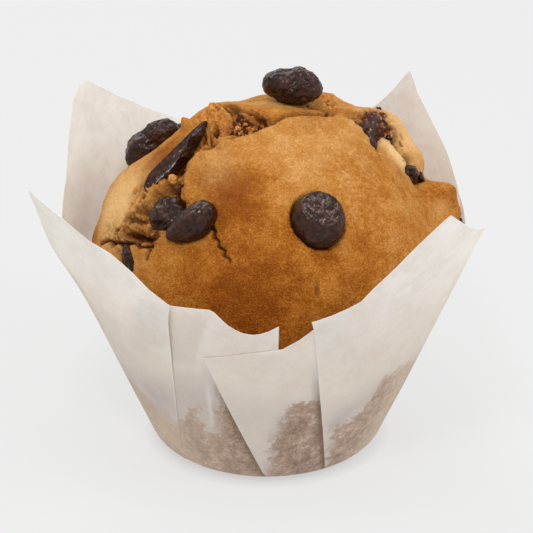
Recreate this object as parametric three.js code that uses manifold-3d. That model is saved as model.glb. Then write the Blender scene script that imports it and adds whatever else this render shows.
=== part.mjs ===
// A muffin with chocolate pieces, standing in its tulip paper case.
// Millimetres, +Z up. The origin is the middle of the flat underside of the case, and -Y is the front.
//
// The case is one square sheet pressed into a cup: its four corners stand up as petals, and the surplus
// between them lies in flat pleats, panel over panel. The muffin fills the cup and swells over it into a
// cracked dome. Chocolate pieces sit in the dome's crust and in its crack, each in a pocket of its own.
import * as THREE from "three";
import { mergeVertices } from "three/addons/utils/BufferGeometryUtils.js";
import Module from "manifold-3d";

const wasm = await Module();
wasm.setup();

// ---- Driving dimensions -------------------------------------------------------------------------

const BASE_FLAT_RADIUS = 22.5; // the flat disc the case stands on
const BASE_ROUNDING = 6; // bend between the disc and the wall
const WALL_TILT = 22.8; // degrees from upright
const WALL_STRAIGHT = 45; // slant length over which every panel keeps that tilt
const PAPER = 0.5; // thickness of one layer, more than real paper's so that it holds as a solid
const LAYER_STEP = 0.42; // how far one layer lies outside the next where panels overlap
const LAYER_RISE = 16; // slant length over which a layer comes off the one below it
const GAP = 0.3; // left between neighbouring pieces

const DOME_CENTRE = 43.5; // height of the dome's middle
const DOME_RADIUS = 42.3;
const DOME_HEIGHT = 40.6; // from the dome's middle to its top
const CLING_HEIGHT = 22; // up to here the crumb clings to the paper
const BODY_BULGE = 1.15; // above it, how fast the body widens to the dome

const radians = THREE.MathUtils.degToRad;
const mix = THREE.MathUtils.lerp;
const smooth = THREE.MathUtils.smoothstep; // (x, low, high)

// Signed difference between two azimuths, in degrees from -180 to 180.
const turn = (a, b) => THREE.MathUtils.euclideanModulo(a - b + 180, 360) - 180;
const bell = (x, width) => Math.exp(-((x / width) ** 2));

// ---- Solids -------------------------------------------------------------------------------------

const material = (color, roughness) => new THREE.MeshStandardMaterial({ color, roughness, metalness: 0 });
const CRUST = material(0xc98440, 0.8);
const WHITE_PAPER = material(0xe6ded4, 0.65);
const CHOCOLATE = material(0x37231d, 0.4);

function solidOf(geometry) {
  const bare = geometry.clone();
  bare.deleteAttribute("normal");
  bare.deleteAttribute("uv");
  const merged = mergeVertices(bare, 1e-4);
  return new wasm.Manifold(
    new wasm.Mesh({
      numProp: 3,
      vertProperties: merged.attributes.position.array,
      triVerts: new Uint32Array(merged.index.array),
    }),
  );
}

// The one body of a solid: hollows that a join seals are filled, and loose scraps dropped.
const larger = (a, b) => (b.volume() > a.volume() ? b : a);
const wholeOf = (solid) => solid.decompose().reduce(larger);

function meshOf(name, solid, finish) {
  const { numProp, numVert, vertProperties, triVerts } = wholeOf(solid).getMesh();
  const positions = new Float32Array(numVert * 3);
  for (let i = 0; i < numVert; i++) {
    positions.set(vertProperties.subarray(i * numProp, i * numProp + 3), i * 3);
  }
  const geometry = new THREE.BufferGeometry();
  geometry.setAttribute("position", new THREE.BufferAttribute(positions, 3));
  geometry.setIndex(new THREE.BufferAttribute(new Uint32Array(triVerts), 1));
  geometry.computeVertexNormals();
  const mesh = new THREE.Mesh(geometry, finish);
  mesh.name = name;
  return mesh;
}

// ---- The cup that the case is pressed into ------------------------------------------------------

const BEND = radians(90 - WALL_TILT);
const WALL_START = {
  r: BASE_FLAT_RADIUS + BASE_ROUNDING * Math.sin(BEND),
  z: BASE_ROUNDING * (1 - Math.cos(BEND)),
};

// Above the straight stretch each petal has a tilt of its own: the rear ones stand almost upright.
const PETALS = [
  { azimuth: 42, lean: -20, width: 34 },
  { azimuth: 146, lean: -12, width: 38 },
  { azimuth: -37, lean: 3, width: 16 },
  { azimuth: -154, lean: 2.5, width: 26 },
];

function petalTilt(azimuth) {
  return PETALS.reduce((sum, p) => sum + p.lean * bell(turn(azimuth, p.azimuth), p.width), WALL_TILT);
}

// A point of the wall's outer face, `out` beyond the first layer, at a slant length above the rounding.
function wallPoint(azimuth, slant, out) {
  const low = Math.min(slant, WALL_STRAIGHT);
  const high = Math.max(slant - WALL_STRAIGHT, 0);
  const [t, p, a] = [radians(WALL_TILT), radians(petalTilt(azimuth)), radians(azimuth)];
  const r = WALL_START.r + low * Math.sin(t) + high * Math.sin(p) + out;
  const z = WALL_START.z + low * Math.cos(t) + high * Math.cos(p);
  return new THREE.Vector3(r * Math.cos(a), r * Math.sin(a), z);
}

// Radius of the crumb that fills the cup at a height, a gap inside the paper.
function fillRadius(z) {
  const inset = PAPER + GAP;
  const tilt = radians(WALL_TILT);
  const wall = WALL_START.r + (z - WALL_START.z) * Math.tan(tilt) - inset / Math.cos(tilt);
  if (z >= BASE_ROUNDING) return wall;
  const bend = Math.max(0, (BASE_ROUNDING - inset) ** 2 - (BASE_ROUNDING - z) ** 2);
  return Math.min(BASE_FLAT_RADIUS + Math.sqrt(bend), wall);
}

// ---- Paper case ---------------------------------------------------------------------------------

// Each panel runs between two edges that may lean, given as azimuths at the foot and at the rim, and lies
// on layer 0 (innermost), 1 or 2. `rim` is its cut edge as azimuth and slant length. `recess` is where a
// panel dips inwards beside a crease that runs from a point on the wall up to the rim.
const PANELS = [
  {
    layer: 0, // middle of the front, dipping in beside the left petal
    left: { foot: -142, rim: -130 },
    right: { foot: -86, rim: -86.7 },
    rim: [[-130, 54], [-114, 55.2], [-104, 55.9], [-100.3, 51.6], [-96.8, 49.4], [-93.2, 48.8],
      [-89.3, 50.1], [-86.7, 52]],
    recess: { crease: { azimuth: -112, slant: 30 }, rim: -104, depth: 1.1 },
  },
  {
    layer: 1, // the pleat across the front, whose folded edge leans to the left
    left: { foot: -92, rim: -111.5 },
    right: { foot: -56, rim: -69 },
    rim: [[-111.5, 39.6], [-97.4, 42.6], [-86.6, 44.2], [-81.5, 47], [-76.9, 50.5], [-69, 54]],
  },
  {
    layer: 2, // right petal
    left: { foot: -60.5, rim: -77.2 },
    right: { foot: -2, rim: 6 },
    rim: [[-77.2, 52.9], [-71.5, 54.5], [-63.9, 57.5], [-60.9, 61], [-55.4, 66.8], [-49.7, 73.8],
      [-44.6, 80], [-38.3, 73.8], [-36.2, 72], [-28, 67.5], [-19.6, 62.6], [-6, 55], [6, 52]],
  },
  {
    layer: 0, // right rear petal
    left: { foot: -14, rim: -16 },
    right: { foot: 84, rim: 88 },
    rim: [[-16, 46], [0, 50], [14.8, 57], [24.1, 64.5], [31.7, 70.5], [38.2, 76.5], [41.4, 81.4],
      [45.4, 77.5], [54, 69.8], [70, 59.5], [88, 52]],
  },
  {
    layer: 1, // the pleat across the back, the front one's counterpart
    left: { foot: 70, rim: 56 },
    right: { foot: 106, rim: 98 },
    rim: [[56, 56], [68, 51], [82, 48], [98, 47]],
  },
  {
    layer: 2, // left rear petal
    left: { foot: 98, rim: 84 },
    right: { foot: 182, rim: 188 },
    rim: [[84, 53], [98, 56], [116, 62.8], [126.9, 67.8], [136.6, 73.2], [143.4, 77.7], [146.9, 80.3],
      [150, 79.8], [153.5, 77.2], [156.5, 72.2], [164.9, 61], [174.9, 55], [188, 52]],
  },
  {
    layer: 1, // left petal, whose folded edge covers the dip at the front
    left: { foot: 166, rim: 172 },
    right: { foot: 225, rim: 242.5 },
    rim: [[172, 50], [175.3, 54], [183.2, 61], [190, 68], [196, 74], [201, 77.5], [207.8, 76.6],
      [212.9, 75], [220.3, 70.8], [226.1, 69], [231.3, 65], [236.9, 59.7], [242.5, 56]],
  },
];

function rimSlant(rim, azimuth) {
  const k = Math.max(1, rim.findIndex(([a]) => a >= azimuth - 1e-9));
  const [[a0, s0], [a1, s1]] = [rim[k - 1], rim[k]];
  return mix(s0, s1, THREE.MathUtils.clamp((azimuth - a0) / (a1 - a0), 0, 1));
}

const REFERENCE_SLANT = 50; // where the panels' rim azimuths are read
const COLUMN_WIDTH = 9; // degrees between a panel's columns, beside those at the corners of its rim
const PANEL_ROWS = 5;
const CUP_SEGMENTS = 24;

function recessAt(panel, azimuth, slant) {
  if (!panel.recess) return 0;
  const { crease, rim, depth } = panel.recess;
  const up = THREE.MathUtils.clamp((slant - crease.slant) / (REFERENCE_SLANT - crease.slant), 0, 1.2);
  const beside = mix(crease.azimuth, rim, up) - azimuth;
  return depth * up * smooth(beside, 0, 3);
}

// The azimuths of a panel's columns at its rim: every corner of the cut edge, and steps between them.
function columnsOf({ rim }) {
  return rim.slice(1).reduce(
    (columns, [end], i) => {
      const start = rim[i][0];
      const steps = Math.ceil((end - start) / COLUMN_WIDTH);
      for (let k = 1; k <= steps; k++) columns.push(mix(start, end, k / steps));
      return columns;
    },
    [rim[0][0]],
  );
}

function panelSolid(panel) {
  const { left, right, rim, layer } = panel;
  const columns = columnsOf(panel);
  const corner = (i, j, outer) => {
    const share = (columns[i] - left.rim) / (right.rim - left.rim);
    const slant = (rimSlant(rim, columns[i]) + 1) * (j / PANEL_ROWS) - 1;
    const azimuth = mix(mix(left.foot, right.foot, share), columns[i], slant / REFERENCE_SLANT);
    const lift = layer * LAYER_STEP * smooth(slant, 0, LAYER_RISE) - recessAt(panel, azimuth, slant);
    const taper = slant < 0 ? 0.08 : 0; // the foot hides inside the cup's own wall
    return wallPoint(azimuth, slant, lift - (outer ? taper : PAPER - taper));
  };
  return solidOf(closedSheet(columns.length, PANEL_ROWS + 1, corner));
}

// A thin closed solid over a grid of columns and rows: an outer face, an inner face and the four edges.
function closedSheet(across, rows, corner) {
  const positions = [];
  for (const outer of [true, false]) {
    for (let i = 0; i < across; i++) {
      for (let j = 0; j < rows; j++) positions.push(...corner(i, j, outer).toArray());
    }
  }
  const at = (i, j, outer) => (outer ? 0 : across * rows) + i * rows + j;
  const faces = [];
  const quad = (a, b, c, d) => faces.push(a, b, c, a, c, d);
  const [last, top] = [across - 1, rows - 1];
  for (let i = 0; i < last; i++) {
    for (let j = 0; j < top; j++) {
      quad(at(i, j, true), at(i + 1, j, true), at(i + 1, j + 1, true), at(i, j + 1, true));
      quad(at(i, j, false), at(i, j + 1, false), at(i + 1, j + 1, false), at(i + 1, j, false));
    }
    quad(at(i, 0, false), at(i + 1, 0, false), at(i + 1, 0, true), at(i, 0, true));
    quad(at(i, top, true), at(i + 1, top, true), at(i + 1, top, false), at(i, top, false));
  }
  for (let j = 0; j < top; j++) {
    quad(at(0, j, false), at(0, j, true), at(0, j + 1, true), at(0, j + 1, false));
    quad(at(last, j, true), at(last, j, false), at(last, j + 1, false), at(last, j + 1, true));
  }
  const geometry = new THREE.BufferGeometry();
  geometry.setAttribute("position", new THREE.BufferAttribute(new Float32Array(positions), 3));
  geometry.setIndex(faces);
  return geometry;
}

// The bottom of the case: the disc, its rounding and the first stretch of wall, all round.
function cupSolid() {
  const steps = 5;
  const wall = 4;
  const [sin, cos] = [Math.sin(radians(WALL_TILT)), Math.cos(radians(WALL_TILT))];
  const arc = (radius) =>
    Array.from({ length: steps + 1 }, (_, k) => {
      const a = (BEND * k) / steps;
      return new THREE.Vector2(BASE_FLAT_RADIUS + radius * Math.sin(a), BASE_ROUNDING - radius * Math.cos(a));
    });
  const outer = arc(BASE_ROUNDING);
  const inner = arc(BASE_ROUNDING - PAPER);
  const up = (p) => new THREE.Vector2(p.x + wall * sin, p.y + wall * cos);
  const profile = [
    new THREE.Vector2(0, 0),
    ...outer,
    up(outer[steps]),
    up(inner[steps]),
    ...inner.reverse(),
    new THREE.Vector2(0, PAPER),
  ];
  return solidOf(new THREE.LatheGeometry(profile, CUP_SEGMENTS).rotateX(Math.PI / 2));
}

function paperCase() {
  return PANELS.reduce((body, panel) => body.add(panelSolid(panel)), cupSolid());
}

// ---- Muffin -------------------------------------------------------------------------------------

// A place on the dome: azimuth and elevation seen from the dome's middle, in degrees.
function direction(azimuth, elevation) {
  const [a, e] = [radians(azimuth), radians(elevation)];
  return new THREE.Vector3(Math.cos(a) * Math.cos(e), Math.sin(a) * Math.cos(e), Math.sin(e));
}

// The crack that the front plate of crust has torn open: up the left side, over the top and down the right.
// Each point is azimuth, elevation, half width and depth.
const MAIN_CRACK = [
  [-143, 8, 1.0, 0.8],
  [-142, 19, 2.6, 2.4],
  [-139, 31, 4.0, 3.2],
  [-134, 43, 5.2, 3.8],
  [-141, 55, 5.2, 3.6],
  [-145, 67, 4.2, 3.0],
  [-120, 76, 4.4, 2.8],
  [-70, 78, 3.2, 2.2],
  [-18, 72, 2.4, 2.0],
  [5, 65, 2.4, 2.4],
  [9, 58, 2.8, 2.6],
  [9, 52.5, 3.2, 2.2],
  [9.5, 47.5, 1.6, 1.8],
  [5.5, 44.5, 1.4, 1.6],
  [3, 41, 1.4, 1.4],
  [1, 36.5, 2.0, 1.6],
  [2, 31, 1.0, 0.8],
];
const SIDE_CRACKS = [
  [[6, 57, 2.4, 3.0], [-4.5, 53.5, 1.9, 3.2], [-12, 51.5, 1.2, 2.4]], // inlet into the front plate
  [[-118, 38, 1.4, 2.2], [-110, 34, 0.9, 1.6], [-105, 28, 0.7, 1.1]], // runs off the front pieces
  [[-142, 20, 1.6, 1.8], [-131, 22, 1.2, 1.4], [-124, 25, 0.8, 0.8]],
  [[8, 63, 2.2, 2.4], [24, 67, 1.6, 1.6], [50, 62, 1.2, 1.0]],
  [[150, 50, 1.0, 1.2], [122, 58, 1.8, 2.0], [92, 52, 1.6, 1.8], [66, 40, 1.0, 1.0]], // across the back
];

// Bumps and dips of the whole crust: azimuth, elevation, half width in degrees and height.
const SWELLS = [
  [-70, 40, 30, 1.4], // the front plate domes up
  [-128, 58, 9, 0.8], // its upper left edge
  [143, 51, 19, -6.6], // left shoulder, where the old crust stayed low
  [170, 22, 14, -1.2],
  [176, 74, 12, 2.6], // crust at the top left
  [44, 58, 11, 2.5], // crust at the top right
  [26, 43.5, 11, 6.6], // lobe on the right beyond the crack
  [38, 53.5, 4, -1.4], // dip between those two
  [15, 32, 6, 2.6], // the lobe's lower end, the right shoulder
  [12, 25, 4, -2.0], // notch between the shoulder and the knob
  [2.5, 25, 4.2, 4.4], // knob at the right rim
  [-2, 22, 8, 1.8], // its near side
  [-1, 31, 4, -2.4], // furrow above it
  [3, 15, 8, 5.6], // its outer side
  [-16, 22, 7, -0.8],
  [95, 30, 22, 1.2],
  [-110, 12, 20, 0.6],
];

// Slow waves over the crust: a wave vector in radians per millimetre, a phase and a height.
const WAVES = [
  { along: new THREE.Vector3(0.21, 0.08, 0.13), phase: 0.4, rise: 0.35 },
  { along: new THREE.Vector3(-0.11, 0.24, 0.09), phase: 1.9, rise: 0.35 },
  { along: new THREE.Vector3(0.17, -0.19, 0.22), phase: 3.3, rise: 0.28 },
  { along: new THREE.Vector3(0.43, 0.21, -0.36), phase: 0.9, rise: 0.16 },
  { along: new THREE.Vector3(-0.31, 0.47, 0.29), phase: 2.4, rise: 0.16 },
];

// Distance along the dome from a direction to a crack's segment, with the half width and depth there.
function nearestOnCrack(crack, dir) {
  let best = { distance: Infinity, half: 1, depth: 0 };
  for (let k = 0; k + 1 < crack.length; k++) {
    const [a, b] = [direction(...crack[k]), direction(...crack[k + 1])];
    const along = b.clone().sub(a);
    const share = THREE.MathUtils.clamp(dir.clone().sub(a).dot(along) / along.lengthSq(), 0, 1);
    const distance = a.addScaledVector(along, share).normalize().distanceTo(dir) * DOME_RADIUS;
    const half = mix(crack[k][2], crack[k + 1][2], share);
    if (distance / half < best.distance / best.half) {
      best = { distance, half, depth: mix(crack[k][3], crack[k + 1][3], share) };
    }
  }
  return best;
}

// How far the crust stands out of (or sinks into) the plain dome.
function crustRelief(dir, point) {
  let height = 0;
  for (const [azimuth, elevation, width, rise] of SWELLS) {
    const away = THREE.MathUtils.radToDeg(dir.angleTo(direction(azimuth, elevation)));
    height += rise * bell(away, width);
  }
  for (const { along, phase, rise } of WAVES) height += rise * Math.sin(point.dot(along) + phase);
  for (const crack of [MAIN_CRACK, ...SIDE_CRACKS]) {
    const { distance, half, depth } = nearestOnCrack(crack, dir);
    const inside = 1 - smooth(distance, half * 0.35, half * 1.15);
    const lip = 0.28 * depth * bell(distance - half * 1.5, half * 0.6);
    height += lip * (1 - inside) - depth * inside;
  }
  return height;
}

// The plain outline: the cup's inside as far as the crumb clings, then a narrower body, then the dome.
function bodyRadius(z) {
  if (z <= CLING_HEIGHT) return fillRadius(z);
  const rise = (z - DOME_CENTRE) / DOME_HEIGHT;
  if (rise >= 0) return DOME_RADIUS * Math.sqrt(Math.max(0, 1 - rise ** 2));
  const t = (z - CLING_HEIGHT) / (DOME_CENTRE - CLING_HEIGHT);
  return mix(fillRadius(CLING_HEIGHT), DOME_RADIUS, 1 - (1 - t) ** BODY_BULGE);
}

// How far a ray from the dome's middle runs inside the plain outline, by halving.
function outlineReach(dir) {
  let [low, high] = [0, 70];
  for (let k = 0; k < 40; k++) {
    const reach = (low + high) / 2;
    const z = DOME_CENTRE + dir.z * reach;
    const within = z > PAPER + GAP && z < DOME_CENTRE + DOME_HEIGHT;
    if (within && Math.hypot(dir.x, dir.y) * reach < bodyRadius(z)) low = reach;
    else high = reach;
  }
  return low;
}

const MUFFIN_DETAIL = 13;
const CROWDING = 1.35; // gathers the facets towards the top, where the crust is cracked

function muffinSolid() {
  const geometry = new THREE.IcosahedronGeometry(1, MUFFIN_DETAIL);
  const positions = geometry.attributes.position;
  const dir = new THREE.Vector3();
  for (let i = 0; i < positions.count; i++) {
    dir.fromBufferAttribute(positions, i).normalize();
    const z = 1 - 2 * ((1 - dir.z) / 2) ** CROWDING;
    const flat = Math.hypot(dir.x, dir.y);
    const stretch = flat > 1e-6 ? Math.sqrt(Math.max(0, 1 - z * z)) / flat : 0;
    dir.set(dir.x * stretch, dir.y * stretch, z);
    const point = dir.clone().multiplyScalar(outlineReach(dir));
    const baked = smooth(point.z, -6, 8); // the crust's relief fades out where the paper holds the crumb
    point.addScaledVector(dir, baked * crustRelief(dir, point));
    positions.setXYZ(i, point.x, point.y, DOME_CENTRE + point.z);
  }
  return solidOf(geometry);
}

// ---- Chocolate pieces ---------------------------------------------------------------------------

// `at` is azimuth, elevation and distance from the dome's middle. `size` is a piece's half lengths along
// the slope's own axes: across, up the slope and out of the crust; `spin` turns it about the outward axis.
// `waist` pinches the middle of its length, `taper` slims it towards its far end, and `bow` bends it.
const PIECES = [
  { name: "chip_front", at: [-70, 38, 42.8], size: [6.1, 6.5, 4.9], spin: 0 },
  { name: "chip_top", at: [38, 80, 44.8], size: [7.2, 5.4, 4.3], spin: -130, waist: 0.06 },
  { name: "chip_bean", at: [-119, 36, 42.2], size: [6.7, 3.4, 4.0], spin: 48, taper: -0.3, bow: 0.1 },
  { name: "chip_lump", at: [-133, 36.5, 40.4], size: [4.3, 4.4, 4.0], spin: 20, taper: 0.12 },
  { name: "chip_shard", at: [-150, 55, 40.9], size: [10.2, 2.2, 2.9], spin: -82, taper: -0.28 },
  { name: "chip_rear_left", at: [155, 41.5, 40.0], size: [8.2, 5.2, 4.8], spin: -58, waist: 0.25, bow: -0.15 },
  { name: "chip_crack_high", at: [1, 53.6, 38.0], size: [5.6, 2.6, 3.0], spin: 6, waist: 0.12 },
  { name: "chip_crack_low", at: [-0.5, 35.8, 40.8], size: [3.2, 2.3, 2.6], spin: -32, waist: 0.15 },
  { name: "chip_low_left", at: [-143, 19, 40.2], size: [3.3, 2.1, 2.4], spin: -53, taper: 0.2 },
  { name: "chip_rim_right", at: [2, 12, 45.2], size: [3.2, 2.4, 2.7], spin: 40 },
  { name: "chip_back_high", at: [98, 35, 41.6], size: [5.8, 5.4, 4.6], spin: 15 },
  { name: "chip_back_left", at: [124, 30, 41.6], size: [7.0, 4.6, 4.4], spin: -30, waist: 0.15 },
  { name: "chip_back_right", at: [62, 30, 43.0], size: [5.8, 5.6, 4.8], spin: 0 },
  { name: "chip_back_low", at: [93, 14, 42.6], size: [5.2, 3.8, 3.8], spin: 60, taper: 0.15 },
];
const CHIP_DETAIL = 2;

// The axes of the crust at a piece: across the slope, up the slope and outwards, turned by its spin.
function seatMatrix({ at: [azimuth, elevation, reach], spin }) {
  const out = direction(azimuth, elevation);
  const across = new THREE.Vector3(-Math.sin(radians(azimuth)), Math.cos(radians(azimuth)), 0);
  const basis = new THREE.Matrix4().makeBasis(across, out.clone().cross(across), out);
  basis.multiply(new THREE.Matrix4().makeRotationZ(radians(spin)));
  return basis.setPosition(out.multiplyScalar(reach).add(new THREE.Vector3(0, 0, DOME_CENTRE)));
}

// One piece, grown by `extra` all round for the pocket that it sits in.
function chipSolid(piece, extra) {
  const { size, waist = 0, taper = 0, bow = 0 } = piece;
  const geometry = new THREE.IcosahedronGeometry(1, CHIP_DETAIL);
  const positions = geometry.attributes.position;
  const v = new THREE.Vector3();
  for (let i = 0; i < positions.count; i++) {
    v.fromBufferAttribute(positions, i).normalize();
    const dent = 1 + 0.05 * Math.sin(4 * v.x + size[0]) + 0.04 * Math.sin(5 * v.y - 2 * v.z + size[1]);
    const girth = dent * (1 - waist * bell(v.x, 0.4)) * (1 - taper * v.x);
    positions.setXYZ(
      i,
      v.x * (size[0] * dent + extra),
      v.y * (size[1] * girth + extra) + bow * size[0] * (v.x ** 2 - 0.4),
      v.z * (size[2] * girth + extra),
    );
  }
  return solidOf(geometry.applyMatrix4(seatMatrix(piece)));
}

// ---- Assembly -----------------------------------------------------------------------------------

const muffin = new THREE.Group();
muffin.add(meshOf("paper_case", paperCase(), WHITE_PAPER));

let body = muffinSolid();
const laid = [];
for (const piece of PIECES) {
  let chip = chipSolid(piece, 0);
  for (const neighbour of laid) chip = chip.subtract(chipSolid(neighbour, GAP));
  laid.push(piece);
  body = body.subtract(chipSolid(piece, GAP));
  muffin.add(meshOf(piece.name, chip, CHOCOLATE));
}
muffin.add(meshOf("muffin_body", body, CRUST));

export default muffin;
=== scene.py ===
# A muffin with chocolate pieces in its tulip paper case: the looks, laid over the frame's solids.
# Lengths are written in millimetres and turned into metres when a piece is finished. Azimuth is in degrees
# from +X and elevation in degrees above level, both seen from the dome's middle. Slant length runs up the
# paper from the wall's foot.
import math
import random

import bmesh
import bpy
import numpy as np
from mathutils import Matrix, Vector, noise


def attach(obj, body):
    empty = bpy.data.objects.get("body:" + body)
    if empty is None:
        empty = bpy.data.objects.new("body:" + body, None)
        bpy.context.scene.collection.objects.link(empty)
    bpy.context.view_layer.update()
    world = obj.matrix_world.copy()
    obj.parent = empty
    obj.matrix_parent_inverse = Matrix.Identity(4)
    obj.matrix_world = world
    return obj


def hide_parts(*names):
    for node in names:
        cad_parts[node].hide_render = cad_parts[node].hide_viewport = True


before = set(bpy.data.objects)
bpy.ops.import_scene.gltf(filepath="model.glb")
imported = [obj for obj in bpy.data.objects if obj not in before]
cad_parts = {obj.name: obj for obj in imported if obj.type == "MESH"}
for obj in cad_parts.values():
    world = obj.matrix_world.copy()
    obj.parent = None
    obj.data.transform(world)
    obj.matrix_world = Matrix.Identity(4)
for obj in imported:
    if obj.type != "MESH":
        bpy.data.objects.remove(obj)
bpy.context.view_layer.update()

MM = 0.001

# ---- Dimensions shared with the solids ----------------------------------------------------------

BASE_FLAT_RADIUS = 22.5  # of the flat disc under the case
BASE_ROUNDING = 6.0  # radius of the bend from the base into the wall
WALL_TILT = 22.8  # degrees that the wall leans out
WALL_STRAIGHT = 45.0  # slant length up to which the wall is straight
PAPER = 0.5  # thickness of the solid's paper
GAP = 0.3  # between the solid's paper and its crumb
LAYER_RISE = 16.0  # slant length over which the layers of a pleat part
REFERENCE_SLANT = 50.0  # slant length that counts as the rim where a panel's edges are given

DOME_CENTRE = 43.5  # height of the dome's middle
DOME_RADIUS = 42.3
DOME_HEIGHT = 40.6
CLING_HEIGHT = 22.0  # height up to which the crumb fills the case
BODY_BULGE = 1.15  # how fast the body widens from there up to the dome
DOME_MIDDLE = np.array([0, 0, DOME_CENTRE])

BEND = math.radians(90 - WALL_TILT)
WALL_START_R = BASE_FLAT_RADIUS + BASE_ROUNDING * math.sin(BEND)
WALL_START_Z = BASE_ROUNDING * (1 - math.cos(BEND))
ROUNDING_LENGTH = BASE_ROUNDING * BEND


def mix(a, b, share):
    return a + (b - a) * share


def smooth(x, low, high):
    t = np.clip((x - low) / (high - low), 0, 1)
    return t * t * (3 - 2 * t)


def bell(x, width):
    return np.exp(-((x / width) ** 2))


def turn(a, b):
    """Signed difference between azimuths, from -180 to 180 degrees."""
    return (a - b + 180) % 360 - 180


def direction(azimuth, elevation):
    """A place on the dome as a unit vector from the dome's middle."""
    a, e = math.radians(azimuth), math.radians(elevation)
    return np.array([math.cos(a) * math.cos(e), math.sin(a) * math.cos(e), math.sin(e)])


def along(table, x):
    """Reads a table of pairs at x, going straight from one entry to the next."""
    return np.interp(x, [a for a, _ in table], [b for _, b in table])


SEED_SHIFT = np.array([17.3, 5.7, -11.1])  # takes each seed to a part of the noise of its own


def lumps(points, size, seed):
    """Soft noise from -1 to 1 at each point, its lumps about `size` millimetres across."""
    shifted = points / size + SEED_SHIFT * seed
    return np.array([noise.noise(p) for p in shifted.tolist()])


# ---- Materials ----------------------------------------------------------------------------------


def add(tree, kind, links=None, **values):
    """A shader node: `links` go by socket name or number, and `values` are its own settings."""
    made = tree.nodes.new("ShaderNode" + kind)
    for key, value in values.items():
        setattr(made, key, value)
    for socket, value in (links or {}).items():
        if isinstance(value, bpy.types.NodeSocket):
            tree.links.new(value, made.inputs[socket])
        else:
            made.inputs[socket].default_value = value
    return made


def ramp(tree, fac, stops):
    """A colour that goes with a value, from stops that each give a value and its colour."""
    made = add(tree, "ValToRGB", {"Fac": fac})
    slots = made.color_ramp.elements
    while len(slots) < len(stops):
        slots.new(0.5)
    for slot, (at, colour) in zip(slots, stops):
        slot.position = at
        slot.color = (*colour, 1)
    return made.outputs["Color"]


def blend(tree, fac, a, b):
    """Colour `a` where `fac` is 0 and colour `b` where it is 1."""
    made = add(tree, "Mix", {"Factor": fac}, data_type="RGBA")
    for socket, value in ((made.inputs[6], a), (made.inputs[7], b)):
        if isinstance(value, bpy.types.NodeSocket):
            tree.links.new(value, socket)
        else:
            socket.default_value = (*value, 1)
    return made.outputs[2]


def maths(tree, operation, a, b=0.5, c=0.5, clamp=False):
    made = add(tree, "Math", operation=operation, use_clamp=clamp)
    for socket, value in zip(made.inputs, (a, b, c)):
        if isinstance(value, bpy.types.NodeSocket):
            tree.links.new(value, socket)
        else:
            socket.default_value = value
    return made.outputs[0]


def between(tree, value, low, high):
    """0 below `low` and 1 above `high`, smoothly."""
    made = add(tree, "MapRange", {"Value": value, "From Min": low, "From Max": high},
               interpolation_type="SMOOTHSTEP")
    return made.outputs["Result"]


def swayed(tree, value, mottle, amount):
    """The value, raised and lowered by half of `amount` as the mottle goes."""
    return maths(tree, "MULTIPLY_ADD", maths(tree, "SUBTRACT", mottle, 0.5), amount, value)


def weighed(tree, *parts):
    """The sum of a few values, each given with its weight."""
    total = 0.0
    for value, weight in parts:
        total = maths(tree, "MULTIPLY_ADD", value, weight, total)
    return total


def bumped(tree, height, strength, depth):
    """A normal from a height: `depth` is in millimetres."""
    made = add(tree, "Bump", {"Height": height, "Strength": strength, "Distance": depth * MM})
    return made.outputs["Normal"]


def attribute(tree, name):
    return add(tree, "Attribute", attribute_name=name).outputs["Fac"]


# Sizes of the mottles in millimetres, where a material gives none, and how finely each is broken up.
MOTTLE_SIZES = {"Large": 7.0, "Middle": 1.6, "Fine": 0.42}
MOTTLE_DETAIL = {"Large": 3.0, "Middle": 2.5, "Fine": 2.0}


def mottle_group():
    """Mottles of three sizes at once: the part's own coordinates in, three values from 0 to 1 out."""
    tree = bpy.data.node_groups.new("mottles", "ShaderNodeTree")
    for name, size in MOTTLE_SIZES.items():
        socket = tree.interface.new_socket(name, in_out="INPUT", socket_type="NodeSocketFloat")
        socket.default_value = size
    for name in MOTTLE_SIZES:
        tree.interface.new_socket(name, in_out="OUTPUT", socket_type="NodeSocketFloat")
    start, end = tree.nodes.new("NodeGroupInput"), tree.nodes.new("NodeGroupOutput")
    place = add(tree, "TexCoord").outputs["Object"]
    for name, detail in MOTTLE_DETAIL.items():
        scale = maths(tree, "DIVIDE", 1 / MM, start.outputs[name])
        links = {"Vector": place, "Scale": scale, "Detail": detail, "Roughness": 0.6}
        cloud = add(tree, "TexNoise", links).outputs["Fac"]
        tree.links.new(between(tree, cloud, 0.3, 0.7), end.inputs[name])
    return tree


MOTTLES = mottle_group()


def mottles(tree, large, middle, fine):
    """Places the mottles in a material, at its own three sizes."""
    made = tree.nodes.new("ShaderNodeGroup")
    made.node_tree = MOTTLES
    for name, size in zip(MOTTLE_SIZES, (large, middle, fine)):
        made.inputs[name].default_value = size
    return [made.outputs[name] for name in MOTTLE_SIZES]


def new_material(name, roughness, specular):
    made = bpy.data.materials.new(name)
    made.use_nodes = True
    shader = made.node_tree.nodes["Principled BSDF"]
    shader.inputs["Roughness"].default_value = roughness
    shader.inputs["Specular IOR Level"].default_value = specular
    return made, made.node_tree, shader


# Crust from its palest gold to its deepest brown, and torn crumb from its hollows to its tops.
CRUST_TONES = [
    (0.0, (0.88, 0.50, 0.185)),
    (0.25, (0.70, 0.345, 0.105)),
    (0.5, (0.57, 0.23, 0.040)),
    (0.75, (0.40, 0.125, 0.014)),
    (1.0, (0.23, 0.056, 0.005)),
]
CRUMB_TONES = [
    (0.0, (0.43, 0.115, 0.013)),
    (0.45, (0.73, 0.28, 0.055)),
    (1.0, (0.90, 0.48, 0.155)),
]
RUDDY_BROWN = (0.36, 0.10, 0.02)
# Also painted light where the left cheek is paled.
PALE_BATTER_AND_LIGHT = (0.97, 0.63, 0.28)
CHOCOLATE_STAIN = (0.105, 0.032, 0.017)
CHOCOLATE_SMEAR = (0.115, 0.075, 0.080)
# Painted shade in the hollows of the cracks, between the grains and under the plate's edge.
HOLLOW_SHADE = (0.085, 0.021, 0.006)


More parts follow.
